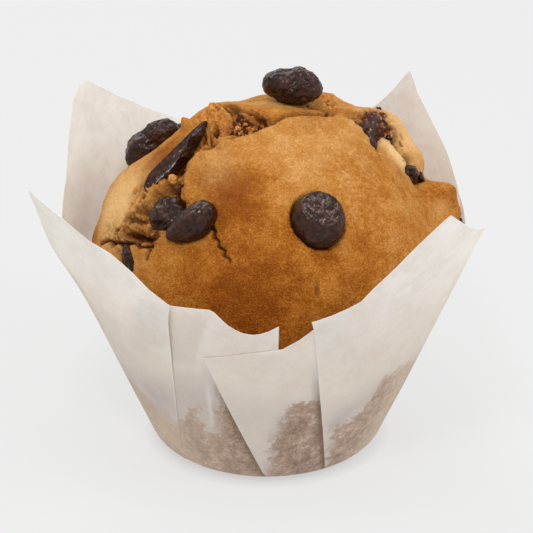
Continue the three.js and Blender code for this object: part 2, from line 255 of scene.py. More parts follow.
def crust_material():
    """Baked crust from gold to deep brown; torn crumb, stains, pale batter, painted light on the left cheek
    and painted shade in hollows and beside chip_front go by attribute.
    """
    made, tree, shader = new_material("baked_crust", roughness=0.6, specular=0.03)
    large, middle, fine = mottles(tree, 4.6, 1.1, 0.34)
    brown = attribute(tree, "browned")
    for mottle, amount in ((large, 0.22), (middle, 0.12), (fine, 0.28)):
        brown = swayed(tree, brown, mottle, amount)
    crust = ramp(tree, brown, CRUST_TONES)
    ruddy = maths(tree, "MULTIPLY", attribute(tree, "ruddy"), between(tree, middle, 0.15, 0.85), clamp=True)
    crust = blend(tree, ruddy, crust, RUDDY_BROWN)
    crumb = ramp(tree, weighed(tree, (middle, 0.6), (fine, 0.4)), CRUMB_TONES)
    colour = blend(tree, attribute(tree, "torn"), crust, crumb)
    patchy = maths(tree, "MULTIPLY_ADD", fine, 0.4, 0.75)
    pale = maths(tree, "MULTIPLY", attribute(tree, "pale"), patchy, clamp=True)
    colour = blend(tree, pale, colour, PALE_BATTER_AND_LIGHT)
    spots = maths(tree, "ADD", between(tree, middle, 0.05, 0.6), 0.15)
    stain = maths(tree, "MULTIPLY", attribute(tree, "stained"), spots, clamp=True)
    colour = blend(tree, stain, colour, CHOCOLATE_STAIN)
    colour = blend(tree, attribute(tree, "smeared"), colour, CHOCOLATE_SMEAR)
    colour = blend(tree, attribute(tree, "sunken"), colour, HOLLOW_SHADE)
    tree.links.new(colour, shader.inputs["Base Color"])
    grain = weighed(tree, (middle, 0.8), (fine, 0.6))
    tree.links.new(bumped(tree, grain, 1.0, 0.32), shader.inputs["Normal"])
    return made


CHOCOLATE_TONES = [
    (0.0, (0.014, 0.0040, 0.0015)),
    (0.6, (0.033, 0.0098, 0.0042)),
    (1.0, (0.066, 0.021, 0.010)),
]
CHOCOLATE_BLOOM = (0.36, 0.28, 0.25)
CRYSTALS_PER_METRE = 1050.0
WARPS_PER_METRE = 900.0  # of the noise that bends the crystals' edges
WARP_SHARE = 0.0014  # how far it bends them


def chocolate_material():
    """Dark chocolate: a satin skin with fine wrinkles, and grey crystals where it is bloomed."""
    made, tree, shader = new_material("chocolate", roughness=0.27, specular=0.05)
    shader.inputs["Specular Tint"].default_value = (1.0, 0.84, 0.76, 1)
    shader.inputs["Coat Weight"].default_value = 0.45
    shader.inputs["Coat Roughness"].default_value = 0.17
    large, middle, fine = mottles(tree, 4.0, 1.1, 0.33)
    skin = ramp(tree, weighed(tree, (large, 0.5), (middle, 0.5)), CHOCOLATE_TONES)
    place = add(tree, "TexCoord").outputs["Object"]
    warp = add(tree, "TexNoise", {"Vector": place, "Scale": WARPS_PER_METRE, "Detail": 1.0})
    bent = add(tree, "Mix", {"Factor": WARP_SHARE}, data_type="VECTOR")
    tree.links.new(place, bent.inputs[4])
    tree.links.new(warp.outputs["Color"], bent.inputs[5])
    links = {"Vector": bent.outputs[1], "Scale": CRYSTALS_PER_METRE}
    cells = add(tree, "TexVoronoi", links, feature="DISTANCE_TO_EDGE")
    crystals = maths(tree, "SUBTRACT", 1.0, between(tree, cells.outputs["Distance"], 0.0, 0.07))
    worn = maths(tree, "MULTIPLY", attribute(tree, "bloomed"), between(tree, middle, 0.35, 0.75))
    dusty = maths(tree, "MULTIPLY", worn, maths(tree, "MULTIPLY_ADD", crystals, 0.9, 0.10), clamp=True)
    tree.links.new(blend(tree, dusty, skin, CHOCOLATE_BLOOM), shader.inputs["Base Color"])
    tree.links.new(maths(tree, "MULTIPLY_ADD", middle, 0.22, 0.17), shader.inputs["Roughness"])
    wrinkles = weighed(tree, (middle, 1.0), (crystals, 0.3), (fine, 0.3))
    tree.links.new(bumped(tree, wrinkles, 0.7, 0.25), shader.inputs["Normal"])
    return made


# White paper and the warmer paper low on the petals, each from thin fibres to thick ones.
PAPER_WHITE = [(0.1, (0.92, 0.89, 0.84)), (0.75, (1.0, 0.985, 0.955))]
PAPER_WARM = [(0.1, (0.965, 0.875, 0.785)), (0.75, (1.0, 0.955, 0.87))]
SOAKED_TONES = [
    (0.12, (0.34, 0.21, 0.145)),
    (0.42, (0.55, 0.38, 0.275)),
    (0.66, (0.70, 0.51, 0.385)),
    (0.92, (0.93, 0.80, 0.67)),
]
GREASE_YELLOW = (0.80, 0.73, 0.58)
GREY_SHADE = (0.71, 0.635, 0.60)
# Painted shade on the double paper beside a crease.
DOUBLE_PAPER_SHADE = (0.86, 0.79, 0.70)
GOLDEN_FAT = (1.0, 0.86, 0.68)
FOLD_SHADE = (0.30, 0.19, 0.12)
# Painted highlight on creases and folded edges.
CREASE_HIGHLIGHT = (1.0, 0.97, 0.93)
LIGHT_LET_THROUGH = 0.42


def paper_material():
    """Greaseproof paper: cloudy fibres that let light through, mottled brown where the crumb clings."""
    made, tree, shader = new_material("greaseproof_paper", roughness=0.55, specular=0.3)
    large, middle, fine = mottles(tree, 6.0, 1.7, 0.5)
    cloud = weighed(tree, (large, 0.45), (fine, 0.25), (middle, 0.3))
    white, warm = ramp(tree, cloud, PAPER_WHITE), ramp(tree, cloud, PAPER_WARM)
    white = blend(tree, attribute(tree, "warmed"), white, warm)
    white = blend(tree, attribute(tree, "greased"), white, GREASE_YELLOW)
    veil = maths(tree, "MULTIPLY", attribute(tree, "veiled"), maths(tree, "MULTIPLY_ADD", large, 0.6, 0.4))
    white = blend(tree, veil, white, GREY_SHADE)
    white = blend(tree, attribute(tree, "doubled"), white, DOUBLE_PAPER_SHADE)
    edge = swayed(tree, attribute(tree, "clinging"), middle, 3.4)
    edge = swayed(tree, edge, fine, 1.0)
    soaked = maths(tree, "MULTIPLY", between(tree, edge, -1.4, 1.2), 0.92)
    speckle = weighed(tree, (middle, 0.36), (fine, 0.30), (large, 0.34))
    golden = maths(tree, "MULTIPLY", attribute(tree, "golden"), 0.6)
    grease = blend(tree, golden, ramp(tree, speckle, SOAKED_TONES), GOLDEN_FAT)
    colour = blend(tree, soaked, white, grease)
    colour = blend(tree, attribute(tree, "shadowed"), colour, FOLD_SHADE)
    colour = blend(tree, attribute(tree, "creased"), colour, CREASE_HIGHLIGHT)
    tree.links.new(colour, shader.inputs["Base Color"])
    fibres = bumped(tree, cloud, 0.35, 0.2)
    tree.links.new(fibres, shader.inputs["Normal"])
    glow = add(tree, "BsdfTranslucent", {"Color": colour, "Normal": fibres})
    both = add(tree, "MixShader", {0: LIGHT_LET_THROUGH, 1: shader.outputs[0], 2: glow.outputs[0]})
    tree.links.new(both.outputs[0], tree.nodes["Material Output"].inputs["Surface"])
    return made


CONTACT_REACH = 3.5  # how far from the case the floor is a little darker


def floor_material():
    """A pale, evenly lit floor, a little darker where the case stands on it."""
    made, tree, shader = new_material("pale_floor", roughness=0.9, specular=0.0)
    shader.inputs["Base Color"].default_value = (0.16, 0.16, 0.16, 1)
    shader.inputs["Emission Color"].default_value = (1, 1, 1, 1)
    open_sky = add(tree, "AmbientOcclusion", {"Distance": CONTACT_REACH * MM}).outputs["AO"]
    strength = maths(tree, "MULTIPLY_ADD", open_sky, 0.14, 0.523)
    tree.links.new(strength, shader.inputs["Emission Strength"])
    return made


CRUST = crust_material()
CHOCOLATE = chocolate_material()
PAPER_FINISH = paper_material()


# ---- Finishing a piece --------------------------------------------------------------------------


def coordinates(mesh):
    flat = np.empty(len(mesh.vertices) * 3)
    mesh.vertices.foreach_get("co", flat)
    return flat.reshape(-1, 3)


def move_vertices(mesh, points):
    """Sets a mesh to points given in millimetres."""
    mesh.vertices.foreach_set("co", (points * MM).astype(np.float32).ravel())
    mesh.update()


def paint(mesh, name, values):
    """Gives each vertex a value, which the material reads by name."""
    layer = mesh.attributes.new(name, "FLOAT", "POINT")
    layer.data.foreach_set("value", np.asarray(values, dtype=np.float32))


def mesh_of(bm, name):
    mesh = bpy.data.meshes.new(name)
    bm.to_mesh(mesh)
    bm.free()
    return mesh


def piece_of(mesh, name, finish, replaced=()):
    """Makes a finished piece of a mesh, in the place of the solids that it replaces."""
    mesh.materials.append(finish)
    mesh.shade_smooth()
    piece = bpy.data.objects.new(name, mesh)
    bpy.context.scene.collection.objects.link(piece)
    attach(piece, "root")
    if replaced:
        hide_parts(*replaced)
    return piece


CUT_EDGE_ANGLE = 40  # degrees above which an edge of the paper is crisp


def thicken(piece, thickness):
    """Gives a sheet its thickness for good, with crisp cut edges."""
    solid = piece.modifiers.new("thickness", "SOLIDIFY")
    solid.thickness = thickness * MM
    solid.offset = 0
    bpy.context.view_layer.update()
    graph = bpy.context.evaluated_depsgraph_get()
    finished = piece.evaluated_get(graph)
    piece.data = bpy.data.meshes.new_from_object(finished, preserve_all_data_layers=True, depsgraph=graph)
    piece.modifiers.clear()
    piece.data.set_sharp_from_angle(angle=math.radians(CUT_EDGE_ANGLE))


# ---- Paper case ---------------------------------------------------------------------------------

SHEET = 0.08  # thickness of the paper
INNERMOST = -0.01  # how far out the innermost layer lies
LAYER_GAP = 0.10  # between the layers of a pleat at the wall's foot
LAYER_SPREAD = 0.14  # how much wider the gap is from LAYER_RISE up
PETALS = [(42, -20, 34), (146, -12, 38), (-37, 3, 16), (-154, 2.5, 26)]  # azimuth, lean and width

# Each panel lies on layer 0 (innermost), 1 or 2 and runs between two edges, given as azimuths at the foot
# and at the rim. `rim` is its cut edge as azimuth and slant length, and `soft` is how far its corners are
# rounded. `folds` are the edges turned under. `recess` sinks it beside a line, and `swell` lets it bulge.
PANELS = [
    dict(name="case_front_middle", layer=0, left=(-142, -130), right=(-86, -86.7), folds=(), soft=1.2,
         rim=[(-130, 54), (-114, 55.2), (-104, 55.9), (-100.3, 51.6), (-96.8, 49.4), (-93.2, 48.8),
              (-89.3, 50.1), (-86.7, 52)],
         recess=dict(azimuth=-112, slant=30, rim=-104, depth=0.75)),
    dict(name="case_front_pleat", layer=1, left=(-92, -111.5), right=(-56, -69), folds=("left",),
         rim=[(-111.5, 39.6), (-97.4, 42.6), (-86.6, 44.2), (-81.5, 47), (-76.9, 50.5), (-69, 54)]),
    dict(name="case_petal_right", layer=2, left=(-60.5, -77.2), right=(-2, 6), folds=("left",),
         rim=[(-77.2, 52.9), (-71.5, 54.5), (-67.3, 56), (-63.9, 57.5), (-60.9, 61), (-55.4, 66.8),
              (-49.7, 73.8), (-44.6, 80.2), (-42.5, 77.8), (-38.3, 73.8), (-36.2, 72), (-28, 67.5),
              (-19.6, 62.6), (-15.3, 60.5), (-6, 55), (6, 52)]),
    dict(name="case_petal_rear_right", layer=0, left=(-14, -16), right=(84, 88), folds=(),
         rim=[(-16, 46), (0, 50), (14.8, 57), (19.2, 60.2), (24.1, 64.5), (31.7, 70.5), (38.2, 76.5),
              (41.4, 81.6), (45.4, 77.5), (49.2, 73.8), (54, 69.8), (70, 59.5), (88, 52)]),
    dict(name="case_pleat_rear", layer=1, left=(70, 56), right=(106, 98), folds=("left",),
         rim=[(56, 56), (68, 51), (82, 48), (98, 47)]),
    dict(name="case_petal_rear_left", layer=2, left=(98, 84), right=(182, 188), folds=("left",),
         rim=[(84, 53), (98, 56), (116, 62.8), (126.9, 67.8), (136.6, 73.2), (143.4, 77.7), (146.9, 80.3),
              (150, 79.8), (153.5, 77.2), (156.5, 72.2), (160.9, 65.8), (164.9, 61), (174.9, 55), (188, 52)]),
    dict(name="case_petal_left", layer=1, left=(166, 172), right=(225, 242.5), folds=("right",),
         rim=[(172, 50), (175.3, 54), (183.2, 61), (190, 68), (196, 74), (201, 77.5), (207.8, 76.6),
              (212.9, 75), (220.3, 70.8), (226.1, 69), (231.3, 65), (236.9, 59.7), (242.5, 56)],
         swell=dict(azimuth=200, width=14, slant=58, reach=11, rise=1.5)),
]

# Slant length, by azimuth, up to which the crumb clings and soaks the paper.
SOAKED_EDGE = [
    (-180, 20), (-168, 18.5), (-152.8, 17.7), (-142.6, 17.2), (-137, 13.7), (-131.1, 10.5), (-126, 14),
    (-121.1, 17.9), (-112.1, 21.9), (-102.9, 22.4), (-90, 23), (-78.1, 24.7), (-69, 24.6), (-66.5, 14.5),
    (-56.1, 13.7), (-50.7, 15.9), (-47.6, 20.8), (-46.5, 26.8), (-39.2, 26.6), (-28.5, 26.0), (-5, 22),
    (20, 19), (48, 24), (75, 20), (100, 23), (125, 18), (150, 22), (180, 20),
]
# The same for the grey shade where the crumb lies close behind the paper.
SHADED_EDGE = [
    (-180, 27), (-145.1, 28), (-125.9, 32.5), (-111.1, 33.5), (-95.1, 31.6), (-82.1, 29.7),
    (-67.5, 26), (-55.9, 26.9), (-45, 31), (0, 30), (15, 20), (165, 20), (180, 27),
]
# Beside a folded edge the paper is double, and its outer layer stays dry up to a line: slant and azimuth.
DRY_WEDGES = {
    "case_front_pleat": [(-7, -89), (0.8, -88.4), (12.1, -86.6), (19.4, -83.7), (23.9, -80.5), (40, -70)],
    "case_petal_right": [(-7, -59.6), (0, -59.2), (8, -60.4), (14, -62.5), (20, -65), (40, -70)],
    "case_pleat_rear": [(-7, 73), (0, 73.5), (12, 76), (24, 80)],
    "case_petal_rear_left": [(-7, 100), (0, 100.5), (12, 101), (24, 103)],
}
# Lines where the sheet was folded and opened again, as slant and azimuth, each painted with a thin highlight.
# It is double to their left, and painted darker there as shade.
CREASES = {
    "case_front_middle": [
        [(33, -113.5), (44, -108.5), (56, -103.2)],
        [(12, -112.5), (24, -110.5), (36, -108)],
    ],
}
# The layer above throws brown shade beside its fold, given as azimuths at the foot and at the rim.
SHADED_BESIDE = {
    "case_front_pleat": (-60.5, -77.2),
    "case_front_middle": (-92, -111.5),
}
DRY_PATCH = (-113.5, 17, 2.6)  # azimuth, slant and radius of a dry spot on the front
# Faint yellow grease on the petals: azimuth, slant, half width in degrees, half height and amount.
GREASED = [(-156, 49, 4, 6, 0.75), (-160, 38, 5, 6, 0.4), (-20, 47, 6, 8, 0.25), (130, 52, 8, 7, 0.35)]
# Where the soaked paper is golden rather than brown: azimuth, half width in degrees and amount.
GOLDEN = [(-28, 18, 1.0), (-152, 30, 1.4)]
MM_PER_DEGREE = 0.62  # how wide a degree of azimuth is, low on the wall


def by_azimuth(table, azimuth):
    """Reads a table that runs once round the case."""
    return along(table, turn(azimuth, 0))


def petal_tilt(azimuth):
    """How far the paper leans out above the straight wall, in degrees."""
    return WALL_TILT + sum(lean * bell(turn(azimuth, at), width) for at, lean, width in PETALS)


def wall_points(azimuth, slant, out):
    """Points of the wall, `out` beyond its outer face; below zero the slant runs round the base."""
    bend = BEND * np.clip(1 + slant / ROUNDING_LENGTH, 0, 1)
    low = np.clip(slant, 0, WALL_STRAIGHT)
    high = np.maximum(slant - WALL_STRAIGHT, 0)
    tilt, lean, a = math.radians(WALL_TILT), np.radians(petal_tilt(azimuth)), np.radians(azimuth)
    r = BASE_FLAT_RADIUS + BASE_ROUNDING * np.sin(bend) + low * math.sin(tilt) + high * np.sin(lean)
    z = BASE_ROUNDING * (1 - np.cos(bend)) + low * math.cos(tilt) + high * np.cos(lean)
    r = r + out * np.sin(bend) / math.sin(BEND)
    return np.stack([r * np.cos(a), r * np.sin(a), z], axis=1)


def crease_marks(name, azimuth, slant):
    """The painted highlight along the creases of a panel, and the painted shade where the paper is double
    beside them.
    """
    creased, doubled = np.zeros(len(slant)), np.zeros(len(slant))
    for crease in CREASES.get(name, ()):
        start, end = crease[0][0], crease[-1][0]
        reach = smooth(slant, start, start + 5) * (1 - smooth(slant, end - 5, end))
        apart = turn(azimuth, along(crease, slant)) * MM_PER_DEGREE
        creased = np.maximum(creased, reach * bell(apart, 0.45) * 0.8)
        doubled = np.maximum(doubled, reach * (1 - smooth(apart, -0.4, 0.1)) * 0.45)
    return creased, doubled


def fold_shade(name, azimuth, slant):
    """The shade that the layer above throws on a panel, strongest at its foot."""
    if name not in SHADED_BESIDE:
        return np.zeros(len(slant))
    foot, rim = SHADED_BESIDE[name]
    apart = turn(azimuth, fold_line(foot, rim, slant)) * MM_PER_DEGREE
    return bell(apart + 0.5, 1.0) * (1 - smooth(slant, 18, 40)) * 0.85


def paint_paper(mesh, name, azimuth, slant, folded=0):
    """Paints a panel's soaked foot, shades, grease, painted highlights on creases and folds, and golden fat,
    each as an attribute.
    """
    soaked = by_azimuth(SOAKED_EDGE, azimuth) - slant
    top = by_azimuth(SHADED_EDGE, azimuth)
    shaded = (1 - smooth(slant, top - 12, top + 2)) * 0.85
    if name in DRY_WEDGES:
        beside = turn(azimuth, along(DRY_WEDGES[name], slant))
        soaked = np.minimum(soaked, beside * MM_PER_DEGREE)
        shaded = shaded * mix(0.45, 1, smooth(beside, -6, 2))
    if name == "case_front_middle":
        at, height, radius = DRY_PATCH
        apart = np.hypot(turn(azimuth, at) * 0.6 + (slant - height) * 0.1, (slant - height) * 0.5)
        soaked = np.minimum(soaked, apart - radius)
    creased, doubled = crease_marks(name, azimuth, slant)
    greased = np.zeros(len(slant))
    for at, height, across, upwards, amount in GREASED:
        greased += amount * bell(turn(azimuth, at), across) * bell(slant - height, upwards)
    golden = 0.6 * (1 - smooth(slant, -5, 0))
    for at, width, amount in GOLDEN:
        golden = golden + amount * bell(turn(azimuth, at), width)
    paint(mesh, "shadowed", fold_shade(name, azimuth, slant))
    paint(mesh, "warmed", (1 - smooth(slant, 30, 62)) * (0.15 if "rear" in name else 1.0))
    paint(mesh, "greased", greased)
    # Painted shade where the paper is double, and painted highlight along the creases and up the folded
    # edges.
    paint(mesh, "doubled", doubled)
    paint(mesh, "creased", np.maximum(creased, folded * smooth(slant, 4, 26)))
    paint(mesh, "clinging", np.clip(soaked, -8, 8))
    paint(mesh, "veiled", shaded)
    paint(mesh, "golden", np.clip(golden, 0, 1))


def fold_line(foot, rim, slant):
    """Azimuth at each slant of a fold from the wall's foot to its rim that is straight in the flat sheet."""
    spread = math.sin(math.radians(WALL_TILT))
    apex = WALL_START_R / spread
    one, two = (length * np.array([math.cos(math.radians(a * spread)), math.sin(math.radians(a * spread))])
                for length, a in ((apex, foot), (apex + REFERENCE_SLANT, rim)))
    line = one + np.linspace(-0.2, 1.0, 80)[:, None] * (two - one)
    angle = np.degrees(np.arctan2(line[:, 1], line[:, 0])) / spread
    return np.interp(slant, np.hypot(line[:, 0], line[:, 1]) - apex, angle)


# The columns of a folded edge, from the fold to the edge that is turned under: how far each lies beyond the
# panel's own edge, and how far behind the panel.
FOLD = [(0.06, 0.01), (0.09, 0.05), (0.09, 0.11), (0.05, 0.15), (-1.5, 0.16), (-4, 0.16), (-8, 0.16)]
FOLD_SHOULDER = 0.45  # degrees from a folded edge to the panel's next column
COLUMN_STEP = 1.4  # about the degrees between columns at the rim
PANEL_ROWS = 46
FOOT_SLANT = -6.3  # the panels reach this far round the base


def panel_columns(spec):
    """A panel's columns from left to right: azimuth at the rim, shift beyond the edge and drop behind it.

    There is one at every corner of the cut edge, with even steps between them.
    """
    rim = spec["rim"]
    first, last = rim[0][0], rim[-1][0]
    columns = [(first, 0.0, 0.0)]
    for (start, _), (end, _) in zip(rim, rim[1:]):
        steps = max(1, round((end - start) / COLUMN_STEP))
        columns += [(mix(start, end, k / steps), 0.0, 0.0) for k in range(1, steps + 1)]
    if "left" in spec["folds"]:
        columns.insert(1, (first + FOLD_SHOULDER, 0.0, 0.0))
        columns = [(first, -shift, drop) for shift, drop in reversed(FOLD)] + columns
    if "right" in spec["folds"]:
        columns.insert(len(columns) - 1, (last - FOLD_SHOULDER, 0.0, 0.0))
        columns += [(last, shift, drop) for shift, drop in FOLD]
    return np.array(columns)


def panel_azimuth(spec, at_rim, slant):
    """Azimuth of a panel's points: each column runs straight in the flat sheet, from the foot to the rim."""
    first, last = spec["rim"][0][0], spec["rim"][-1][0]
    share = (at_rim - first) / (last - first)
    foot = mix(spec["left"][0], spec["right"][0], share)
    azimuth = mix(foot, at_rim, slant / REFERENCE_SLANT)
    left, right = (fold_line(foot_at, rim_at, slant) - mix(foot_at, rim_at, slant / REFERENCE_SLANT)
                   for foot_at, rim_at in (spec["left"], spec["right"]))
    return azimuth + np.where(slant < REFERENCE_SLANT, mix(left, right, share), 0)


def panel_lift(spec, azimuth, slant):
    """How far out a panel lies, with its recess, its swell and soft ripples above the crumb."""
    layer = spec["layer"]
    lift = INNERMOST + layer * (LAYER_GAP + LAYER_SPREAD * smooth(slant, 0, LAYER_RISE))
    recess = spec.get("recess")
    if recess:
        high = np.clip((slant - recess["slant"]) / (REFERENCE_SLANT - recess["slant"]), 0, 1.2)
        beside = mix(recess["azimuth"], recess["rim"], high) - azimuth
        lift = lift - recess["depth"] * high * smooth(beside, 0, 3)
    swell = spec.get("swell")
    if swell:
        across = bell(turn(azimuth, swell["azimuth"]), swell["width"])
        lift = lift + swell["rise"] * across * bell(slant - swell["slant"], swell["reach"])
    place = wall_points(azimuth, slant, 0)
    ripple = 0.22 * lumps(place, 13, layer + 1) + 0.05 * lumps(place, 4, layer + 3)
    return lift + ripple * smooth(slant, 34, 62)


def case_panel(spec):
    """One panel of the sheet, its folded edges turned under."""
    rim, columns = spec["rim"], panel_columns(spec)
    bm = bmesh.new()
    bm.loops.layers.uv.new("sheet")
    bmesh.ops.create_grid(bm, x_segments=len(columns) - 1, y_segments=PANEL_ROWS, size=1.0, calc_uvs=True)
    mesh = mesh_of(bm, spec["name"])
    grid = coordinates(mesh)
    column = np.rint((grid[:, 0] + 1) / 2 * (len(columns) - 1)).astype(int)
    at_rim, shift, drop = columns.T[:, column]
    soft = spec.get("soft", 0.3)
    top = sum(0.25 * along(rim, at_rim + step) for step in (-soft, 0, 0, soft))
    slant = mix(FOOT_SLANT, top, (grid[:, 1] + 1) / 2)
    radius = WALL_START_R + np.maximum(slant, 0) * math.sin(math.radians(WALL_TILT))
    azimuth = panel_azimuth(spec, at_rim, slant) + np.degrees(shift / radius)
    lift = panel_lift(spec, azimuth, slant) - drop
    move_vertices(mesh, wall_points(azimuth, slant, lift))
    folded = (at_rim == rim[0][0]) & ("left" in spec["folds"])
    folded |= (at_rim == rim[-1][0]) & ("right" in spec["folds"])
    # The folded edges get a painted highlight.
    paint_paper(mesh, spec["name"], azimuth, slant, 0.75 * folded)
    return piece_of(mesh, spec["name"], PAPER_FINISH)


BASE_RINGS = (0.0, 6, 12, 17, 20, BASE_FLAT_RADIUS)
BASE_LIFT = 0.07  # keeps the sheet's underside above the table
BASE_SHRINK = 0.22  # keeps the base's rim inside the panels


def sort_by_vertices(bm):
    """Gives edges and faces a fixed order, because spin orders them differently in each run."""
    bm.verts.index_update()
    count = len(bm.verts)

    def rank(element):
        number = 0
        for index in sorted(vertex.index for vertex in element.verts):
            number = number * count + index
        return number

    bm.edges.sort(key=rank)
    bm.faces.sort(key=rank)


def case_base():
    """The disc that the case stands on, its rounding and the first of the wall, turned from one profile."""
    bm = bmesh.new()
    profile = [(r, 0.0) for r in BASE_RINGS]
    for a in (BEND * k / 8 for k in range(1, 9)):
        profile.append((BASE_FLAT_RADIUS + BASE_ROUNDING * math.sin(a), BASE_ROUNDING * (1 - math.cos(a))))
    tilt = math.radians(WALL_TILT)
    for slant in (1.5, 3.0):
        profile.append((WALL_START_R + slant * math.sin(tilt), WALL_START_Z + slant * math.cos(tilt)))
    chain = [bm.verts.new((r, 0, z)) for r, z in profile]
    edges = [bm.edges.new(pair) for pair in zip(chain, chain[1:])]
    bmesh.ops.spin(bm, geom=chain + edges, cent=(0, 0, 0), axis=(0, 0, 1), angle=2 * math.pi, steps=160,
                   use_merge=True)
    bmesh.ops.remove_doubles(bm, verts=bm.verts, dist=0.001)
    bmesh.ops.recalc_face_normals(bm, faces=bm.faces)
    if sum(f.normal.z for f in bm.faces if f.calc_center_median().z < 0.01) > 0:
        bmesh.ops.reverse_faces(bm, faces=bm.faces)
    sort_by_vertices(bm)
    mesh = mesh_of(bm, "case_base")
    points = coordinates(mesh)
    r = np.hypot(points[:, 0], points[:, 1])
    azimuth = np.degrees(np.arctan2(points[:, 1], points[:, 0]))
    bend = np.arctan2(r - BASE_FLAT_RADIUS, BASE_ROUNDING - points[:, 2])
    slant = np.where(r < BASE_FLAT_RADIUS, -ROUNDING_LENGTH, (bend / BEND - 1) * ROUNDING_LENGTH)
    inward = BASE_SHRINK * smooth(r, BASE_FLAT_RADIUS, BASE_FLAT_RADIUS + 3)
    points[:, :2] *= (1 - inward / np.maximum(r, 1))[:, None]
    points[:, 2] += BASE_LIFT
    move_vertices(mesh, points)
    paint_paper(mesh, "case_base", azimuth, slant)
    return piece_of(mesh, "case_base", PAPER_FINISH)


case_pieces = [case_base()] + [case_panel(spec) for spec in PANELS]
for piece in case_pieces:
    thicken(piece, SHEET)
    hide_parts("paper_case")


# ---- Chocolate pieces ---------------------------------------------------------------------------

# `at` is azimuth, elevation and distance from the dome's middle; `size` is half lengths across the slope,
# up it and out of the crust; `spin` turns the piece about the outward axis. `waist`, `taper` and `bow` shape
# it, and `uneven` is how far it is from a plain oval. `wrinkle` is how rough its skin is. `faces` are level
# faces, as a direction in the piece's own axes and a height, and `bloom` is how grey and scratched they are.
# `dimples` are dents, as a direction, a width and a depth. `sunk` below 1 lets the crumb stand up against
# the piece's flanks.
CHIPS = [
    dict(name="chip_front", at=(-70, 38, 42.8), size=(6.1, 6.5, 4.9), spin=0, uneven=0.2, wrinkle=0.05,
         bloom=1.0, faces=[((0.05, 0.34, 1), 3.5)], dimples=[((0.1, 0.3, 1), 0.4, 0.35)]),
    dict(name="chip_top", at=(38, 80, 44.8), size=(7.2, 5.4, 4.3), spin=-130, waist=0.02, wrinkle=0.22,
         dimples=[((0.5, -0.55, 0.65), 0.26, 1.0), ((-0.3, 0.2, 0.9), 0.3, 0.5),
                  ((-0.55, -0.6, -0.2), 0.3, 0.9)], sunk=0.8),
    dict(name="chip_bean", at=(-119, 36, 42.2), size=(6.7, 3.6, 4.0), spin=48, taper=-0.06, bow=0.22,
         wrinkle=0.07, dimples=[((0.75, 0.1, 0.6), 0.22, 0.3), ((-0.1, -0.7, 0.7), 0.3, 0.4)], sunk=0.9),
    dict(name="chip_lump", at=(-132, 36.2, 40.2), size=(4.3, 4.2, 4.0), spin=20, taper=0.12, wrinkle=0.2,
         dimples=[((0.5, 0.1, 0.8), 0.35, 0.9), ((-0.5, 0.5, 0.6), 0.3, 0.7), ((-0.2, -0.7, 0.6), 0.3, 0.7)],
         sunk=0.85),
    dict(name="chip_shard", at=(-150, 55, 40.9), size=(10.2, 2.2, 2.9), spin=-82, taper=-0.28, wrinkle=0.12,
         faces=[((0.1, 0.5, 1), 1.7), ((-0.1, -0.8, 1), 1.6)], dimples=[((0.5, -0.3, 0.8), 0.2, 0.4)],
         sunk=0.8),
    dict(name="chip_rear_left", at=(155, 41.5, 40.0), size=(8.2, 5.2, 4.8), spin=-58, waist=0.16, bow=-0.15,
         taper=-0.12, wrinkle=0.2,
         dimples=[((0.0, 0.7, 0.7), 0.25, 0.8), ((0.6, 0.2, 0.7), 0.25, 0.6), ((-0.7, 0.5, 0.2), 0.3, 0.8)]),
    dict(name="chip_crack_high", at=(1, 53.6, 38.8), size=(5.6, 2.8, 3.0), spin=6, waist=0.12, wrinkle=0.2,
         sunk=0.7),
    dict(name="chip_crack_low", at=(-0.5, 35.8, 40.8), size=(3.2, 2.3, 2.6), spin=-32, waist=0.15,
         wrinkle=0.3, sunk=0.7),
    dict(name="chip_low_left", at=(-143, 19, 40.2), size=(3.5, 2.5, 2.5), spin=-53, taper=0.1, wrinkle=0.22),
    dict(name="chip_rim_right", at=(2, 12, 45.2), size=(3.2, 2.4, 2.7), spin=40, wrinkle=0.2),
    dict(name="chip_back_high", at=(98, 35, 41.6), size=(5.8, 5.4, 4.6), spin=15, uneven=0.4, wrinkle=0.07,
         bloom=0.8, faces=[((0, 0.1, 1), 3.7)]),
    dict(name="chip_back_left", at=(124, 30, 41.6), size=(7.0, 4.6, 4.4), spin=-30, waist=0.15, wrinkle=0.24),
    dict(name="chip_back_right", at=(62, 30, 43.0), size=(5.8, 5.6, 4.8), spin=0, wrinkle=0.12),
    dict(name="chip_back_low", at=(93, 14, 42.6), size=(5.2, 3.8, 3.8), spin=60, taper=0.15, wrinkle=0.26),
]

# Shavings of chocolate: azimuth, elevation, distance from the dome's middle, half length, half width, spin.
SPECKS = [
    (17, 49, 44.3, 1.5, 0.9, -60), (28, 49, 46.1, 0.9, 0.6, 0), (10, 46.8, 42.6, 0.8, 0.7, 30),
    (8, 45.6, 41.9, 0.7, 0.5, 0), (5, 31, 42.5, 1.2, 0.9, 40), (21, 53, 43.9, 0.9, 0.7, 10),
]


def seat_axes(chip):
    """The crust's own axes at a piece, turned by its spin, and the piece's middle."""
    azimuth, elevation, reach = chip["at"]
    out = direction(azimuth, elevation)
    a, s = math.radians(azimuth), math.radians(chip["spin"])
    across = np.array([-math.sin(a), math.cos(a), 0])
    upward = np.cross(out, across)
    x = across * math.cos(s) + upward * math.sin(s)
    y = upward * math.cos(s) - across * math.sin(s)
    return np.stack([x, y, out]), out * reach


def chip_surface(chip, v):
    """The smooth form of a piece for unit vectors in its own axes."""
    size, waist, taper, bow = chip["size"], chip.get("waist", 0), chip.get("taper", 0), chip.get("bow", 0)
    dent = 0.05 * np.sin(4 * v[:, 0] + size[0]) + 0.04 * np.sin(5 * v[:, 1] - 2 * v[:, 2] + size[1])
    dent = 1 + dent * chip.get("uneven", 1)
    girth = dent * (1 - waist * bell(v[:, 0], 0.4)) * (1 - taper * v[:, 0])
    x = v[:, 0] * size[0] * dent
    y = v[:, 1] * size[1] * girth + bow * size[0] * (v[:, 0] ** 2 - 0.4)
    z = v[:, 2] * size[2] * girth
    return np.stack([x, y, z], axis=1)


